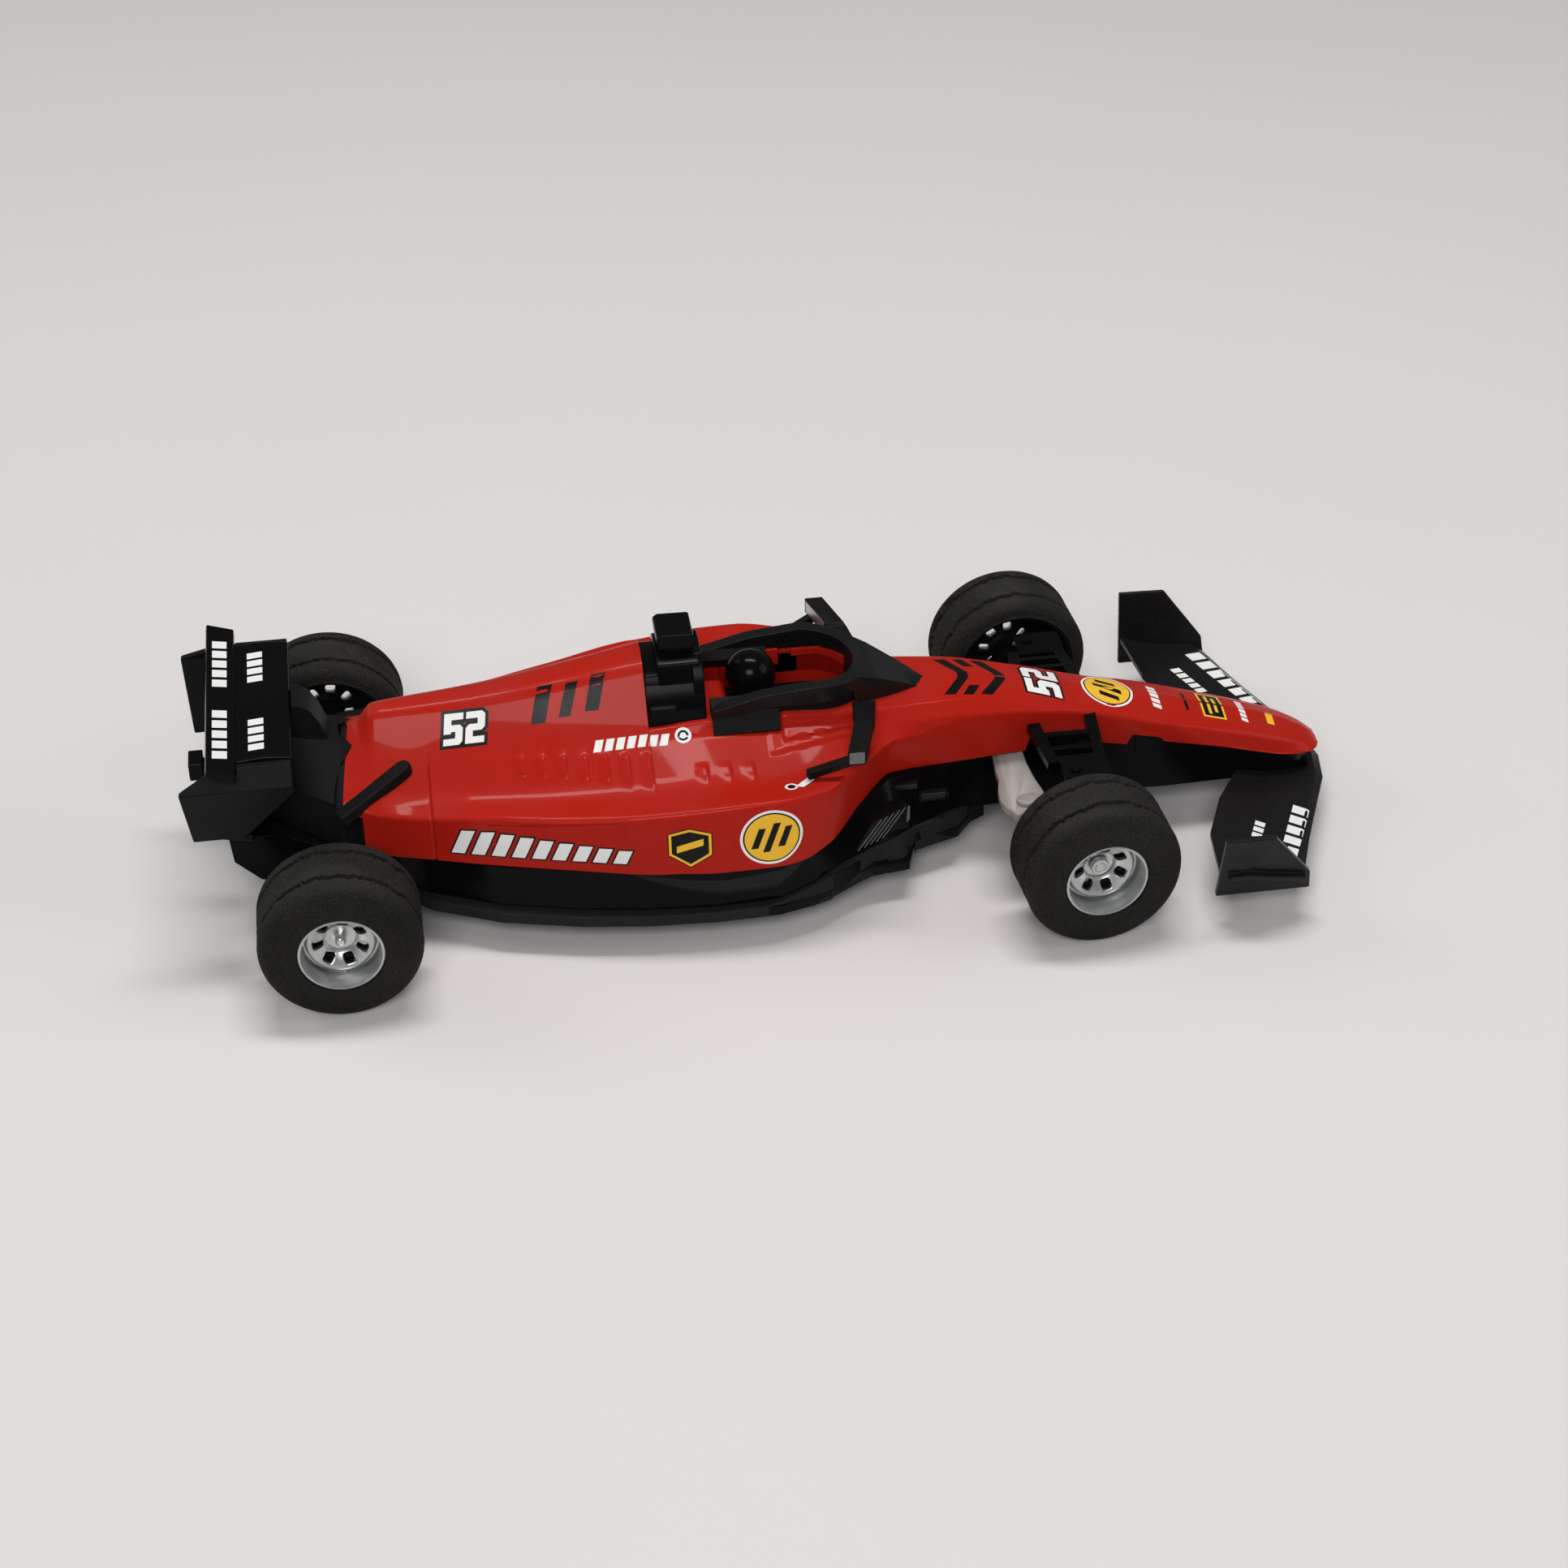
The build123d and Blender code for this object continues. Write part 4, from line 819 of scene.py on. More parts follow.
def stamp(pots, surface, shapes, spot, facing, upward):
    """Lay printed shapes on a surface: cut small, dropped onto it and given a thickness."""
    facing, upward = Vector(facing).normalized(), Vector(upward).normalized()
    right = upward.cross(facing).normalized()
    upward = facing.cross(right)
    lift = sizes().print_lift
    for ink_name, outline, level in shapes:
        flat = bmesh.new()
        flat.faces.new([flat.verts.new((u, v, 0)) for u, v in outline])
        for values, normal in zip(zip(*outline), (Vector((1, 0, 0)), Vector((0, 1, 0)))):
            for cut in np.arange(min(values) + PRINT_GRID, max(values), PRINT_GRID):
                bmesh.ops.bisect_plane(flat, geom=flat.verts[:] + flat.edges[:] + flat.faces[:],
                                       plane_co=normal * cut, plane_no=normal)
        bmesh.ops.triangulate(flat, faces=flat.faces)
        flat.verts.index_update()
        pot = pots.setdefault(ink_name, bmesh.new())
        top, low = [], []
        for vert in flat.verts:
            point = (Vector(spot) + right * vert.co.x + upward * vert.co.y) * MM
            hit, normal, _, _ = surface.ray_cast(point + facing * DROP_FROM * MM, -facing,
                                                 DROP_REACH * MM)
            if hit is None:
                hit, normal, _, _ = surface.find_nearest(point)
            if normal.dot(facing) < 0:
                normal = -normal
            top.append(pot.verts.new(hit + normal * lift * level))
            low.append(pot.verts.new(hit - normal * PRINT_ROOT * MM))
        for f in flat.faces:
            ids = [v.index for v in f.verts]
            if f.normal.z < 0:
                ids.reverse()
            pot.faces.new([top[i] for i in ids])
            pot.faces.new([low[i] for i in reversed(ids)])
            for edge in f.edges:
                if len(edge.link_faces) == 1:
                    a, b = (v.index for v in edge.verts)
                    if ids[(ids.index(a) + 1) % len(ids)] != b:
                        a, b = b, a
                    pot.faces.new((top[b], top[a], low[a], low[b]))
        flat.free()


def surface_of(name):
    """Ray-casting tree of a finished piece."""
    mesh = bpy.data.objects[name].data
    return BVHTree.FromPolygons([v.co.copy() for v in mesh.vertices],
                                [list(p.vertices) for p in mesh.polygons])


class TOYCAR_OT_prints(Operator):
    """Print the plain number, roundels, bars and slots on the casting and the wings"""
    bl_idname = "toycar.prints"
    bl_label = "Prints"

    def execute(self, context):
        pots = {}
        surfaces = {name: surface_of(name) for name in {row[0] for row in SIDE_PRINTS}}
        red = surfaces["red_casting"]
        for _, way in SIDES:
            for name, shapes, *ways in SIDE_PRINTS:
                stamp(pots, surfaces[name], shapes, *(mirrored(at, way) for at in ways))
            bars = blocks(27.5, 4.4, 9, lean=-FLANK_LEAN * way, line=0.26, fall=0.45, gap=0.34)
            stamp(pots, red, bars, *(mirrored(at, way) for at in FLANK_PLACE))
        for ink, outline in PATCHES:
            stamp(pots, red, [(ink, outline, 1)], (0, 0, 30), UP, ACROSS)
        for shapes, x in NOSE_PRINTS:
            stamp(pots, red, shapes, (x, 0, 30), UP, BACK)
        for ink, bm in pots.items():
            name = f"print_{ink}"
            dressed(name, finished_mesh(bm, name, 30.0), f"{ink}_ink")
        return {"FINISHED"}


# ---- black mouldings --------------------------------------------------------------------------
# Floor plate's edge from the tail to the front suspension: x, half width at the foot and at
# the top, height of the top.
FLOOR_ROWS = ((-57.8, 13.1, 13.1, 6.6), (-54.0, 16.8, 16.8, 6.6), (-43.6, 21.6, 21.6, 6.6),
              (-31.5, 24.6, 24.6, 6.6), (-21.8, 26.0, 26.0, 6.6), (-12.0, 26.6, 26.6, 6.6),
              (-4.0, 26.4, 26.4, 6.7), (-2.0, 26.2, 26.0, 6.9), (3.3, 24.9, 24.6, 8.2),
              (6.2, 23.8, 23.3, 8.8), (6.9, 22.7, 22.4, 8.85), (13.1, 19.1, 18.8, 9.2),
              (18.6, 18.4, 15.4, 9.05), (20.8, 13.7, 12.9, 8.8), (28.0, 11.2, 10.3, 8.5),
              (30.4, 8.0, 7.7, 8.2))
FLOOR_FOOT, FLOOR_STEP = 4.96, 0.45
ROUGH_AMOUNT, LIFT_AMOUNT, SPARE = 0.10, 0.09, 0.14    # the edge's raggedness and its mean
# Matte swelling of the wall under the casting: x, lower and upper edge.
SWELL = ((-23.4, 12.7, 12.9), (-22.4, 12.1, 12.8), (-16.2, 10.0, 11.8), (-9.8, 8.8, 11.3),
         (-2.5, 9.0, 11.9), (0.6, 11.0, 12.5), (2.4, 12.7, 12.9))
SWELL_BULGE, SWELL_FULL = 0.5, 2.4      # how far it stands out, and from which height on
# Wall of the base: x, half width at the lower and at the upper of two heights.
WALL = ((-31.5, 22.8, 20.6), (-21.8, 24.4, 23.2), (-12.0, 25.2, 24.6), (-2.0, 25.1, 24.2),
        (3.7, 24.0, 22.0))
WALL_LOW, WALL_RISE = 6.6, 11.4
# Guide vane ahead of the sidepod: both ends in plan, then outlines on it in x and height.
VANE_START, VANE_END = Vector((9.6, 19.8, 0)), Vector((19.8, 13.6, 0))
VANE_PLATE = ((9.6, 8.8), (13.4, 13.8), (19.8, 13.8), (19.8, 8.8))
VANE_EDGE = ((19.3, 10.6), (19.85, 10.9), (19.85, 13.4), (19.5, 13.4))
RIB_FIRST, RIB_STEP, RIB_COUNT = 10.9, 1.04, 5
RIB = ((RIB_FIRST, 9.85), (RIB_FIRST + 0.13, 9.75), (RIB_FIRST + 4.13, 13.5),
       (RIB_FIRST + 4.0, 13.6))
# Brackets behind the front wheels: rear and front end, inner and outer half width, heights.
BRACKETS = ((17.6, 22.0, 8.6, 11.2, 14.7, 15.5), (21.9, 26.5, 9.4, 10.9, 12.3, 13.3))


def rib_row(label):
    """Geometry group: repeats a moulded rib along a line and gives it its finish."""
    tree = bpy.data.node_groups.new(label, "GeometryNodeTree")
    for name, kind in (("Rib", "NodeSocketGeometry"), ("Count", "NodeSocketInt"),
                       ("Step", "NodeSocketVector"), ("Finish", "NodeSocketMaterial")):
        tree.interface.new_socket(name, in_out="INPUT", socket_type=kind)
    tree.interface.new_socket("Ribs", in_out="OUTPUT", socket_type="NodeSocketGeometry")
    entry, leave = tree.nodes.new("NodeGroupInput"), tree.nodes.new("NodeGroupOutput")
    line = place(tree, "GeometryNodeMeshLine",
                 {"Count": entry.outputs["Count"], "Offset": entry.outputs["Step"]}, mode="OFFSET")
    row = place(tree, "GeometryNodeInstanceOnPoints",
                {"Points": line.outputs["Mesh"], "Instance": entry.outputs["Rib"]})
    real = place(tree, "GeometryNodeRealizeInstances", {"Geometry": row.outputs["Instances"]})
    done = place(tree, "GeometryNodeSetMaterial",
                 {"Geometry": real.outputs["Geometry"], "Material": entry.outputs["Finish"]})
    tree.links.new(done.outputs["Geometry"], leave.inputs["Ribs"])
    return tree


def repeated(name, mesh, count, step, look):
    """Mesh of one piece repeated along a line of equal steps, by Geometry Nodes."""
    helper = linked(name, mesh)
    modifier = helper.modifiers.new("Row", "NODES")
    modifier.node_group = shared("Row of ribs", rib_row)
    values = {"Count": count, "Step": tuple(step), "Finish": finish(look)}
    for item in modifier.node_group.interface.items_tree:
        if item.name in values:
            modifier[item.identifier] = values[item.name]
    return baked(name, helper)


def floor_edge(side, way):
    """Rough outer edge of the floor plate and its raised rim ahead of the sidepod."""
    grid = []
    for x in np.arange(FLOOR_ROWS[0][0], FLOOR_ROWS[-1][0], FLOOR_STEP):
        foot, top, z = columns_at(FLOOR_ROWS, x)
        rough = ROUGH_AMOUNT * noise.noise(Vector((x * 1.9, 3, way))) + SPARE
        lift = LIFT_AMOUNT * noise.noise(Vector((x * 2.3, 9, way))) + SPARE
        section = ((foot - 1.4, FLOOR_FOOT), (foot + rough, FLOOR_FOOT),
                   (top + rough, z - 0.12 + lift), (top + rough - 0.15, z + lift),
                   (top - 2.0, z + lift), (top - 2.3, z - 0.3))
        grid.append([(x, way * w, h) for w, h in section])
    lofted(f"floor_edge_{side}", grid, "matt_black")


def swelling(side, way):
    """Matte crescent-shaped swelling of the base's wall under the casting."""
    grid = []
    for x in np.linspace(SWELL[0][0], SWELL[-1][0], 60):
        low, high = columns_at(SWELL, x)
        foot, head = columns_at(WALL, x)
        z = np.linspace(low, high, 9)
        wide = foot + (z - WALL_LOW) / WALL_RISE * (head - foot)
        bulge = SWELL_BULGE * min(1.0, (high - low) / SWELL_FULL)
        outer = wide + bulge * np.sin(np.linspace(0, math.pi, 9))
        section = (*zip(outer, z), *zip(wide[::-1] - 0.3, z[::-1]))
        grid.append([(x, way * w, h) for w, h in section])
    lofted(f"wall_swelling_{side}", grid, "matt_black")


class TOYCAR_OT_base(Operator):
    """Make the black base with its rough floor edge, brackets and ribbed guide vanes"""
    bl_idname = "toycar.base"
    bl_label = "Base and vanes"

    def execute(self, context):
        softened("base_pan", "gloss_black")
        grid = []
        for x in np.linspace(CHIN[0][0], CHIN[-1][0], 50):
            (low, wide), (high,) = columns_at(CHIN, x), columns_at(PARTING, x)
            grid.append([(x, w, z) for w, z in both_sides(((-wide, low - 0.3),
                                                           (-wide, high + 0.15)))])
        lofted("nose_chin", grid, "gloss_black")
        stretch = (VANE_END - VANE_START).length / (VANE_END - VANE_START).x
        for side, way in SIDES:
            floor_edge(side, way)
            swelling(side, way)
            start = mirrored(VANE_START, way)
            run = (mirrored(VANE_END, way) - start).normalized()
            out = Vector((-way * run.y, way * run.x, 0))

            def on_vane(x, z, depth):
                return (start + run * (x - VANE_START.x) * stretch + out * depth
                        + Vector((0, 0, z)))

            moulded(f"vane_plate_{side}", prisms((VANE_PLATE, -3.2, 0.0), put=on_vane),
                    "gloss_black", 0.12, (f"side_vane_{side}",))
            # The ribs and the plate's front edge are pale grey, a painted highlight on their
            # edges.
            rib = finished_mesh(prisms((RIB, -0.3, 0.07), put=on_vane), "rib")
            row = repeated(f"vane_ribs_{side}", rounded("rib", rib, 0.03), RIB_COUNT,
                           run * RIB_STEP * stretch * MM, "pale_grey_black")
            dressed(f"vane_ribs_{side}", row, "pale_grey_black")
            moulded(f"vane_edge_{side}", prisms((VANE_EDGE, -0.4, 0.12), put=on_vane),
                    "pale_grey_black", 0.05)
            plans = (([(x0, way * w0), (x1, way * w0), (x1 - 0.5, way * w1), (x0 + 0.3, way * w1)],
                      low, high) for x0, x1, w0, w1, low, high in BRACKETS)
            moulded(f"brackets_{side}", prisms(*plans), "satin_black", 0.15)
        return {"FINISHED"}


# Pieces at the rear, then those of the cockpit: node, finish, and where they differ from the
# usual, the rounding and the slot.
REAR_PIECES = (("gearbox_case", "gloss_black"), ("rain_light", "gloss_black"),
               ("beam_wing", "gloss_black"),
               ("gearbox_cover", "grained_black", 0.55, "black_plastic"),
               ("rear_wing", "gloss_black"))
COCKPIT_PIECES = (("driver", "gloss_black", 0.4), ("head_guard", "satin_black", 0.6),
                  ("cockpit_surround", "grained_black"))
REAR_ARM = ((-56.2, 7.9, 24.9), (-66.2, 13.0, 20.5))    # inner and outer end
ARM_HALF, ARM_FOOT_HALF, ARM_DEPTH = 1.25, 1.2, 1.0     # half widths at its ends, half depth
# Black flange behind the casting's rear edge: half width and height, then its layers from
# front to back, place and slope.
TAIL_FLANGE = ((10.9, 13.2), (11.0, 20.4), (11.6, 21.6), (10.3, 23.0), (7.6, 24.6), (5.2, 25.8),
               (2.4, 27.4), (1.2, 28.0))
FLANGE_LAYERS, FLANGE_X, FLANGE_SWEEP = (0.0, 0.5, 1.0, 1.35, 1.45), -63.9, 0.155


class TOYCAR_OT_rear(Operator):
    """Round and finish the gearbox, rear wing, end plates, light and arms"""
    bl_idname = "toycar.rear"
    bl_label = "Rear end"

    def execute(self, context):
        for piece in REAR_PIECES:
            softened(*piece)
        for side, way in SIDES:
            softened(f"rear_plate_{side}", "grained_black")
            inner, outer = (mirrored(end, way) for end in REAR_ARM)
            lie = (outer - inner).normalized()
            across = lie.cross(Vector(UP)).normalized()
            up = across.cross(lie)
            reach = (outer - inner).length
            outline = [(-ARM_HALF * math.sin(a), ARM_HALF * math.cos(a))
                       for a in np.linspace(0, math.pi, 13)]
            outline += [(reach, -ARM_FOOT_HALF), (reach, ARM_FOOT_HALF)]
            bar = prisms((outline, -ARM_DEPTH, ARM_DEPTH),
                         put=lambda u, v, depth: inner + lie * u + across * v + up * depth)
            moulded(f"rear_arm_{side}_bar", bar, "grained_black", 0.35, (f"rear_arm_{side}",))
        grid = []
        for back in FLANGE_LAYERS:
            inset = 0.35 + 1.3 * max(0, back - 0.9)
            section = both_sides([(max(0.0, w - inset), z - inset * 0.7) for w, z in TAIL_FLANGE])
            grid.append([(FLANGE_X - back - FLANGE_SWEEP * abs(w), w, z) for w, z in section])
        lofted("tail_flange", grid, "grained_black")
        return {"FINISHED"}


# Steps of the intake box behind the driver, the raised hoop round its mouth and a band at its
# foot: outline in half width and height, rear and front end.
AIRBOX = ((((8.1, 28.4), (7.9, 30.4), (6.9, 33.0), (5.6, 34.6)), -19.3, -10.6),
          (((7.2, 30.0), (6.3, 33.6), (4.9, 35.6), (3.8, 36.0)), -19.2, -11.4),
          (((6.6, 31.0), (5.6, 35.2), (4.6, 37.2), (3.0, 37.9)), -17.2, -10.8),
          (((8.2, 28.4), (7.6, 31.0), (6.4, 34.4), (5.0, 36.6), (3.2, 38.0)), -12.0, -10.3),
          (((8.35, 29.9), (7.9, 31.6), (7.0, 31.9)), -18.8, -14.8))
# Camera and its foot: outline in x and height, and its two sides.
CAMERA_POD = ((((-16.9, 38.9), (-11.9, 38.9), (-11.2, 39.6), (-11.5, 41.4), (-16.3, 41.5),
                (-17.0, 41.0)), -3.3, 3.3),
              (((-16.0, 36.6), (-11.6, 36.6), (-12.1, 39.2), (-15.4, 39.2)), -2.6, 2.6))
# Thin tip of the head guard's fairing on the nose: x, half width, height.
GUARD_TIP = ((20.5, 3.1, 29.1), (22.2, 2.4, 28.5), (23.6, 1.5, 28.1), (24.6, 0.9, 27.9),
             (25.4, 0.3, 27.75))
GUARD_FOOT_Z = 26.5
MIRROR = ((12.6, 13.8, 28.9), (10.4, 21.4, 28.9))       # inner and outer end of the left one
MIRROR_PLATE = (-0.2, 0.06)                             # how deep and how proud a plate lies


class TOYCAR_OT_cockpit(Operator):
    """Round and finish the airbox, camera, surround, driver, head guard and mirrors"""
    bl_idname = "toycar.cockpit"
    bl_label = "Cockpit group"

    def execute(self, context):
        hoods = ((both_sides(rows), *ends) for rows, *ends in AIRBOX)
        moulded("airbox_moulding", prisms(*hoods, axis="X"), "gloss_black", 0.22, ("airbox",))
        moulded("camera_pod_moulding", prisms(*CAMERA_POD, axis="Y"), "gloss_black", 0.3,
                ("camera_pod",))
        for piece in COCKPIT_PIECES:
            softened(*piece)
        lofted("guard_tip", [[(x, -w, GUARD_FOOT_Z), (x, -w * 0.9, top - 0.3), (x, 0, top),
                              (x, w * 0.9, top - 0.3), (x, w, GUARD_FOOT_Z)]
                             for x, w, top in GUARD_TIP], "satin_black")
        # Black block filling the cockpit from below its floor up to just under the red walls.
        tray = [(x, y * 0.995) for x, y in opening(-0.05, COCKPIT["seat"] + 0.05)]
        moulded("cockpit_tray", prisms((tray, 19.0, 24.2)), "grained_black", 0.1)
        for side, way in SIDES:
            softened(f"mirror_{side}", "grained_black")
            root, tip = (mirrored(end, way) for end in MIRROR)
            run = tip - root
            back = Vector((-abs(run.y), way * run.x, 0)).normalized()

            def on_back(u, z, depth):
                return root + run * u + Vector((-1.4, 0, z)) + back * depth

            def on_end(u, z, depth):
                return tip + Vector((u, way * depth, z))

            for name, look, outline, put in (
                    ("face", "plating", box(0.06, 0.94, -1.0, 1.0), on_back),
                    ("end", "pale_grey_black", box(-1.15, 1.15, -1.0, 1.0), on_end)):
                moulded(f"mirror_{name}_{side}", prisms((outline, *MIRROR_PLATE), put=put), look,
                        0.04)
        return {"FINISHED"}


class TOYCAR_OT_front_wing(Operator):
    """Round and finish the front wing and its end plates"""
    bl_idname = "toycar.front_wing"
    bl_label = "Front wing"

    def execute(self, context):
        softened("front_wing", "satin_black", 0.12)
        for side, _ in SIDES:
            softened(f"front_plate_{side}", "satin_black")
        return {"FINISHED"}


# ---- suspension and steering ------------------------------------------------------------------
# Section of a front stub axle: distance out from the kingpin and radius.
STUB = ((0.6, 0.0), (0.6, 0.8), (12.8, 0.8), (12.8, 1.25), (12.92, 1.4), (13.6, 1.4),
        (13.78, 1.28), (13.8, 0.95), (13.66, 0.86), (13.66, 0.76), (13.8, 0.66), (13.8, 0.0))
# The same of half the rear axle, out from its middle.
AXLE_HALF = ((31.9, 0.0), (31.9, 0.45), (31.75, 0.68), (31.45, 0.8))


def lathed(name, profile, centre, outward, steps, angle=32.0, closed=True, wobble=None):
    """Mesh turned round an axle: the profile gives distance out and radius."""
    ahead = outward.cross(Vector(UP)).normalized()
    grid = []
    for a in (2 * math.pi * k / steps for k in range(steps)):
        spoke = ahead * math.cos(a) + Vector((0, 0, math.sin(a)))
        row = [wobble(a, *point) for point in profile] if wobble else profile
        grid.append([centre + outward * out + spoke * radius for out, radius in row])
    bm = bmesh.new()
    grid_faces(bm, grid, closed=closed, caps=False, wrap=True)
    if not closed:                          # its ends meet on the axle
        bmesh.ops.remove_doubles(bm, verts=bm.verts, dist=0.005 * MM)
    return finished_mesh(bm, name, angle)


def turned_axle(node, profile, centre, outward, steps, look):
    """A CAD axle made again as a clean turned piece."""
    mesh = lathed(node, profile, centre, outward, steps, 40.0, closed=False)
    dressed(f"{node}_turned", mesh, look, body_of(node), (node,), "steel")


# Outline of half the steering link in plan, from its rear edge round the end to its front
# edge: x, half width; its underside and top; the pins' place with the wheels at rest.
LINK_EDGE = ((34.6, 3.0), (34.3, 6.0), (34.0, 9.0), (34.0, 11.4), (33.5, 13.4), (33.2, 15.2),
             (33.2, 17.0), (33.7, 18.6), (34.4, 19.8), (34.7, 20.7), (35.5, 20.95),
             (36.1, 20.4), (37.0, 20.2), (38.3, 20.2), (39.4, 19.2), (40.0, 17.4), (40.2, 15.4),
             (39.6, 12.0), (39.2, 8.0), (39.2, 3.0))
LINK_Z = (14.2, 15.7)
LINK_SHIFT, PIN_X = -7.0 * math.sin(math.radians(STEER_REST)), 37.52
# Ovals round the pins: half length, half width, lower and upper end.
PIN_HOLES = (1.6, 0.97, 13.0, 17.0)
DOMES, DOME_HOLES = (2.1, 1.45, 15.4, 16.55), (1.62, 0.98, 15.0, 16.3)


def at_pins(along, across, low, high):
    """Closed ovals round both pins of the steering link."""
    spots = ((PIN_X, way * KINGPIN_Y + LINK_SHIFT) for _, way in SIDES)
    return prisms(*(([(x + u * along, y + v * across) for u, v in ring(1.0, 28)], low, high)
                    for x, y in spots))


def link():
    """Nylon steering link with its two lobes and a low dome over each pin."""
    outline = [(x, y + LINK_SHIFT) for x, y in (
        *((x, -w) for x, w in LINK_EDGE), *reversed(LINK_EDGE))]
    plate_mesh = cut_by("link", finished_mesh(prisms((outline, *LINK_Z)), "link"),
                        at_pins(*PIN_HOLES))
    domes = cut_by("domes", rounded("domes", finished_mesh(at_pins(*DOMES), "domes"), 0.4, 3),
                   at_pins(*DOME_HOLES))
    bm = bmesh.new()
    bm.from_mesh(rounded("link", plate_mesh, 0.3))
    bm.from_mesh(domes)
    dressed("steering_link_nylon", finished_mesh(bm, "steering_link_nylon", turn=False), "nylon",
            "steering_link", ("steering_link",))


class TOYCAR_OT_suspension(Operator):
    """Round and finish the front arms, knuckles, axles and steering link"""
    bl_idname = "toycar.suspension"
    bl_label = "Suspension and steering"

    def execute(self, context):
        for side, _ in SIDES:
            for node in (f"front_arms_{side}", f"knuckle_{side}"):
                softened(node, "gloss_black")
            centre, outward, _, _ = wheel_frame(f"front_rim_{side}")
            turned_axle(f"stub_axle_{side}", STUB, centre, outward, 48, "plating")
        link()
        profile = [*AXLE_HALF, *((-out, r) for out, r in reversed(AXLE_HALF))]
        turned_axle("rear_axle", profile, Vector((REAR_AXLE_X, 0, TYRE_R)), Vector(ACROSS), 40,
                    "steel")
        return {"FINISHED"}


# ---- wheels -----------------------------------------------------------------------------------
# Tyres: distance of the face from the wheel's centre, and width.
REAR_TYRE, FRONT_TYRE = (35.1, 13.3), (35.6 - KINGPIN_Y, 12.9)
SHOULDER, DOME, BEAD_R = 2.2, 0.35, 7.89    # a tyre's edge rounding, wall bulge, bead radius
GROOVES, GROOVE_HALF = (3.6, 3.7), 0.45     # from the outer and from the inner face
# How a groove's edges wander, in broad and in small waves, and how deep the crown is torn.
BROAD_WANDER, SMALL_WANDER, TEAR = 0.5, 0.42, 0.36
BACK_R = 9.5                                # opening at the back of a wheel
# Holes of a rim: radius of their ring, its turn, half size and corner radius of a hole.
HOLE_RING_R, HOLE_TURN, HOLE_HALF, HOLE_ROUND = 3.35, 9.4, 0.82, 0.46


def wheel_frame(node):
    """Centre, outward axis, tyre face and width of a wheel, from its node's name."""
    way = 1 if node.endswith("left") else -1
    if not node.startswith("front"):
        return Vector((REAR_AXLE_X, 0, TYRE_R)), Vector((0, way, 0)), *REAR_TYRE
    steer = math.radians(STEER_REST)
    return (Vector((FRONT_AXLE_X, way * KINGPIN_Y, TYRE_R)),
            Vector((-way * math.sin(steer), way * math.cos(steer), 0)), *FRONT_TYRE)


def tyre_profile(face, width):
    """Closed outline of a tyre's section, with two narrow grooves in its crown."""
    back = face - width
    flank = [(face, r) for r in np.linspace(RIM_R, BEAD_R, 4)]
    flank += [(face - DOME * t, BEAD_R + (TYRE_R - SHOULDER - BEAD_R) * t)
              for t in np.linspace(0, 1, 6)[1:]]
    edge = face - DOME - SHOULDER
    arc = [(edge + SHOULDER * math.cos(a), TYRE_R - SHOULDER + SHOULDER * math.sin(a))
           for a in np.linspace(0, math.pi / 2, 10)[1:-1]]
    depth = sizes().groove_depth / MM
    crown = []
    for out in np.arange(edge, back + DOME + SHOULDER - 1e-6, -0.15):
        near = min(abs(out - (face - GROOVES[0])), abs(out - (back + GROOVES[1])))
        crown.append((out, TYRE_R - depth * max(0, 1 - near / GROOVE_HALF)))
    hollow = [(back + DOME, BACK_R), (back + 1.3, BACK_R - 0.15), (face - 5.6, RIM_R)]
    inside = [(back + DOME * (1 - t), TYRE_R - SHOULDER + (BACK_R - TYRE_R + SHOULDER) * t)
              for t in (0, 0.5)]
    arc_in = [(back + face - out, r) for out, r in reversed(arc)]
    return flank + arc + crown + arc_in + inside + hollow


class TOYCAR_OT_tyres(Operator):
    """Make the four foamed tyres with their two ragged grooves"""
    bl_idname = "toycar.tyres"
    bl_label = "Tyres"

    def execute(self, context):
        for end in ("front", "rear"):
            for side, _ in SIDES:
                node = f"{end}_tyre_{side}"
                centre, outward, face, width = wheel_frame(node)
                back = face - width

                def ragged(angle, out, radius, shift=len(node) * 1.7):
                    if radius < TYRE_R - 1.4 or not back + 2.6 < out < face - 2.6:
                        return out, radius
                    spot = Vector((math.cos(angle) * 9, math.sin(angle) * 9, shift))
                    torn = abs(noise.noise(spot * 2.3 + Vector((out * 0.8, 0, 0))))
                    return (out + BROAD_WANDER * noise.noise(spot * 0.6)
                            + SMALL_WANDER * noise.noise(spot * 4), radius - torn * TEAR)

                mesh = lathed(node, tyre_profile(face, width), centre, outward, 180, 40.0,
                              wobble=ragged)
                dressed(node + "_foam", mesh, "rubber", body_of(node), (node,))
        return {"FINISHED"}


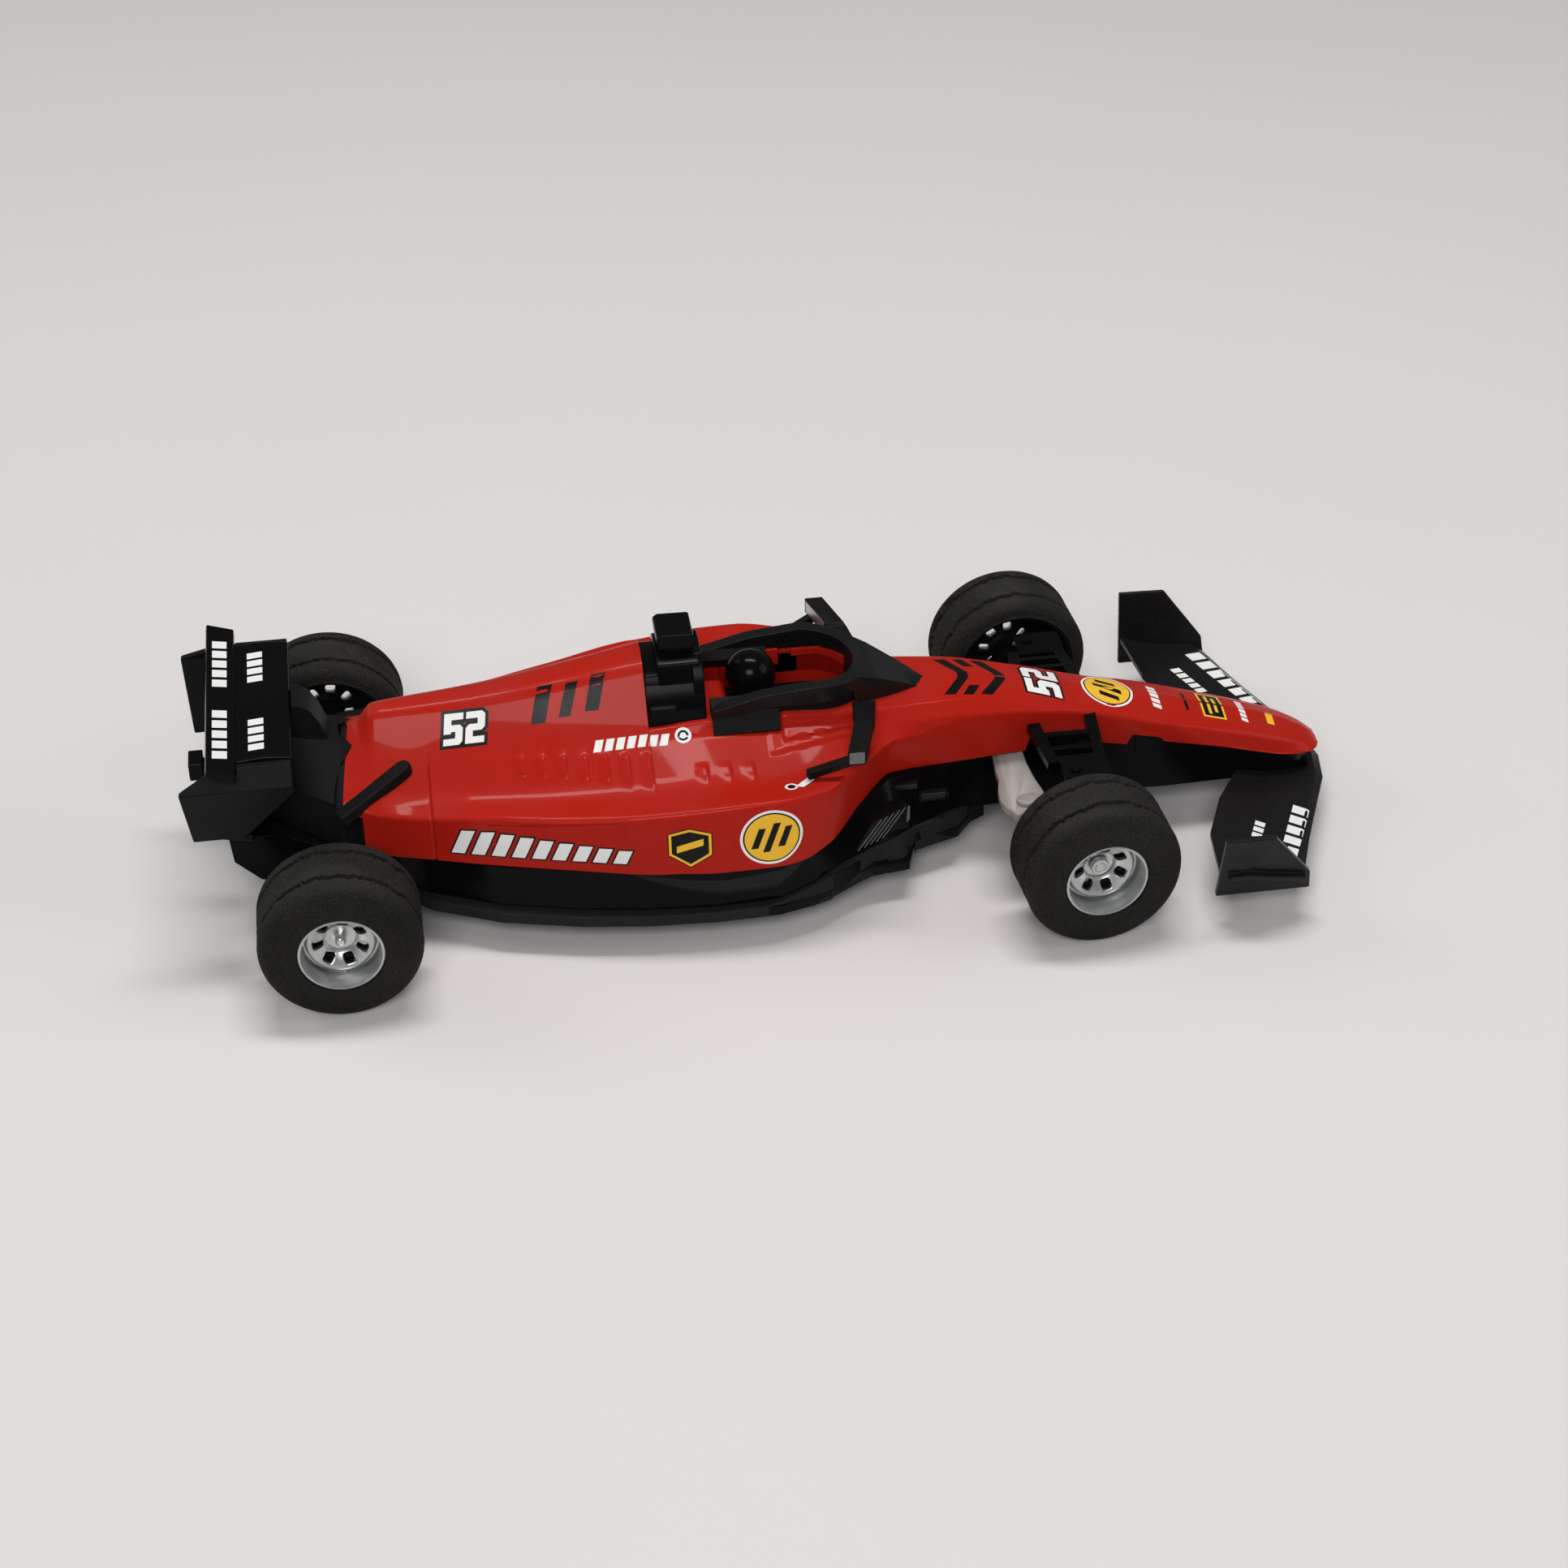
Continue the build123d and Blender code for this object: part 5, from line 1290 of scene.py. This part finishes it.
def rim_profiles(face, width, bore):
    """Sections of a rim: plated front with lip, barrel and raised disc, and its black back."""
    back = face - width
    lip = [(face - 0.95, 6.5), (face - 0.5, 6.48), (face - 0.24, 6.34), (face - 0.16, 6.15),
           (face - 0.24, 5.96), (face - 0.5, 5.86)]
    wall = [(face - 3.1, 5.6), (face - 3.9, 5.55), (face - 3.95, 5.3), (face - 3.5, 5.12)]
    disc = [(face - 3.2, 5.0), (face - 3.06, 4.8), (face - 3.1, 4.5), (face - 4.1, 2.6),
            (face - 4.35, 2.35), (face - 4.85, 2.2), (face - 4.9, 1.9), (face - 4.9, bore)]
    joint = [(face - 5.3, bore), (face - 5.3, 2.2), (face - 4.7, 2.8), (face - 3.8, 4.4),
             (face - 4.3, 5.2), (face - 4.4, 5.85), (face - 5.6, 6.2), (face - 5.6, RIM_R)]
    behind = [(face - 5.65, RIM_R), (back + 1.3, BACK_R - 0.15), (back + 0.65, BACK_R - 0.12),
              (back + 0.6, BACK_R - 0.4), (back + 0.9, BACK_R - 0.6), (back + 1.6, BACK_R - 0.7),
              (face - 5.9, 5.7), (face - 5.3, 5.3), (face - 4.9, 4.6), (face - 6.1, 1.9),
              (back + 1.2, 1.9), (back + 1.2, bore)]
    return lip + wall + disc + joint, joint + behind


def rim_holes(centre, outward, face, way):
    """Rounded square punches round the disc, for every hole of a rim."""
    count = sizes().rim_holes
    ahead = outward.cross(Vector(UP)).normalized()
    flat = HOLE_HALF - HOLE_ROUND
    loop = [(u * flat + HOLE_ROUND * math.cos(b), v * flat + HOLE_ROUND * math.sin(b))
            for c, (u, v) in enumerate(((1, 1), (-1, 1), (-1, -1), (1, -1)))
            for b in np.radians(90 * c + np.array((5, 25, 45, 65, 85)))]
    plans = []
    for k in range(count):
        turn = math.radians(90 - way * HOLE_TURN) + 2 * math.pi * k / count
        c, s = math.cos(turn), math.sin(turn)
        plans.append(([((HOLE_RING_R + u) * c - v * s, (HOLE_RING_R + u) * s + v * c)
                       for u, v in loop], face - 6.6, face - 2.0))
    return prisms(*plans, put=lambda a, b, out: centre + ahead * a + Vector((0, 0, b))
                  + outward * out)


class TOYCAR_OT_rims(Operator):
    """Make the four plated rims with their rounded holes"""
    bl_idname = "toycar.rims"
    bl_label = "Rims"

    def execute(self, context):
        for end, bore in (("front", 0.86), ("rear", 0.8)):
            for side, way in SIDES:
                node = f"{end}_rim_{side}"
                centre, outward, face, width = wheel_frame(node)
                looks = ((f"{node}_plated", "plating", (node,), None),
                         (f"{node}_back", "grained_black", (), "black_plastic"))
                for profile, (name, *look) in zip(rim_profiles(face, width, bore), looks):
                    mesh = cut_by("punched", lathed(node, profile, centre, outward, 112),
                                  rim_holes(centre, outward, face, way))
                    mesh = rounded(name, mesh, 0.16, angle=50)
                    mesh.set_sharp_from_angle(angle=math.radians(35))
                    dressed(name, mesh, look[0], body_of(node), *look[1:])
        return {"FINISHED"}


# ---- stage ------------------------------------------------------------------------------------
CAMERA_PLACE = Vector((-0.052181, -0.395603, 0.298002))
CAMERA_TURN = (0.137, 0.625, -0.014)        # yaw, pitch and roll in radians
CAMERA_LENS, CAMERA_SENSOR, CAMERA_NEAR = 72.195, 36.0, 0.01
TABLE_HALF = 3.0
SKY_COLOUR, SKY_STRENGTH = (0.93, 0.95, 1.0, 1), 0.14
# Lamps: name, place, what it points at, size, power and tint.
LAMPS = (("overhead_strip", (0.02, 0.10, 0.80), (0, 0, 0), (0.50, 0.10), 3.4, (1, 0.99, 0.97)),
         ("front_softbox", (-0.20, -0.95, 0.85), (0, 0, 0.01), (0.6, 0.4), 7.2, (1, 1, 1)),
         ("left_softbox", (-0.75, 0.30, 0.50), (0, 0, 0.02), (0.5, 0.5), 1.5, (1, 1, 1)),
         ("right_softbox", (0.80, -0.25, 0.50), (0, 0, 0.02), (0.5, 0.5), 1.5, (1, 1, 1)))


def floor_material():
    """Pale table with faint clouds in its tone, softly shaded by the car."""
    made = bpy.data.materials.new("Pale table")
    made.use_nodes = True
    tree = made.node_tree
    shader = tree.nodes["Principled BSDF"]
    where = place(tree, "ShaderNodeTexCoord").outputs["Object"]
    clouds = place(tree, "ShaderNodeTexNoise", {"Vector": where, "Scale": 9.0, "Detail": 3.0})
    tone = blend(tree, clouds.outputs["Fac"], colours().floor, scaled(colours().floor, 0.97))
    tree.links.new(tone, shader.inputs["Base Color"])
    shader.inputs["Roughness"].default_value = 0.75
    return made


def lamp(name, spot, target, size, power, tint):
    """Soft rectangular lamp pointed at a target."""
    data = bpy.data.lights.new(name, "AREA")
    data.shape = "RECTANGLE"
    data.size, data.size_y = size
    data.energy, data.color = power, tint
    light = linked(name, data)
    light.location = spot
    light.rotation_euler = (Vector(target) - Vector(spot)).to_track_quat("-Z", "Y").to_euler()


def stage_camera():
    """Camera above the car's right side, from its yaw, pitch and roll."""
    yaw, pitch, roll = CAMERA_TURN
    ahead = Vector((math.sin(yaw) * math.cos(pitch), math.cos(yaw) * math.cos(pitch),
                    -math.sin(pitch)))
    right = ahead.cross(Vector(UP)).normalized()
    up = right.cross(ahead)
    level = math.cos(roll) * right + math.sin(roll) * up
    rise = -math.sin(roll) * right + math.cos(roll) * up
    turn = Matrix((level, rise, -ahead)).transposed().to_4x4()
    turn.translation = CAMERA_PLACE
    data = bpy.data.cameras.new("camera")
    data.lens, data.sensor_width, data.clip_start = CAMERA_LENS, CAMERA_SENSOR, CAMERA_NEAR
    camera = linked("camera", data)
    camera.matrix_world = turn
    return camera


class TOYCAR_OT_stage(Operator):
    """Set the pale table, the soft lamps, the sky and the camera"""
    bl_idname = "toycar.stage"
    bl_label = "Stage"

    def execute(self, context):
        scene = context.scene
        bm = bmesh.new()
        bmesh.ops.create_grid(bm, x_segments=1, y_segments=1, size=TABLE_HALF)
        mesh = bpy.data.meshes.new("table")
        bm.to_mesh(mesh)
        bm.free()
        mesh.materials.append(floor_material())
        linked("table", mesh)
        for row in LAMPS:
            lamp(*row)
        world = scene.world or bpy.data.worlds.new("Sky")
        scene.world = world
        world.use_nodes = True
        sky = world.node_tree.nodes["Background"]
        sky.inputs["Color"].default_value = SKY_COLOUR
        sky.inputs["Strength"].default_value = SKY_STRENGTH
        scene.camera = stage_camera()
        scene.view_settings.view_transform = "Standard"
        return {"FINISHED"}


class TOYCAR_PT_panel(Panel):
    """Lists the car's pieces and their settings"""
    bl_idname = "TOYCAR_PT_panel"
    bl_label = "Toy racing car"
    bl_space_type = "VIEW_3D"
    bl_region_type = "UI"
    bl_category = "Toy Car"

    def draw(self, context):
        for settings in (context.scene.car_sizes, context.scene.car_colours):
            for key in settings.__annotations__:
                self.layout.prop(settings, key)
        for step in STEPS:
            self.layout.operator(step.bl_idname)


STEPS = (TOYCAR_OT_casting, TOYCAR_OT_base, TOYCAR_OT_rear, TOYCAR_OT_cockpit,
         TOYCAR_OT_front_wing, TOYCAR_OT_suspension, TOYCAR_OT_tyres, TOYCAR_OT_rims,
         TOYCAR_OT_prints, TOYCAR_OT_stage)
CLASSES = (CarSizes, CarColours, *STEPS, TOYCAR_PT_panel)


def register():
    for item in CLASSES:
        bpy.utils.register_class(item)
    bpy.types.Scene.car_sizes = PointerProperty(type=CarSizes)
    bpy.types.Scene.car_colours = PointerProperty(type=CarColours)


def unregister():
    del bpy.types.Scene.car_sizes
    del bpy.types.Scene.car_colours
    for item in reversed(CLASSES):
        bpy.utils.unregister_class(item)


def main():
    register()
    for step in STEPS:
        group, name = step.bl_idname.split(".")
        getattr(getattr(bpy.ops, group), name)()


if __name__ == "__main__":
    main()
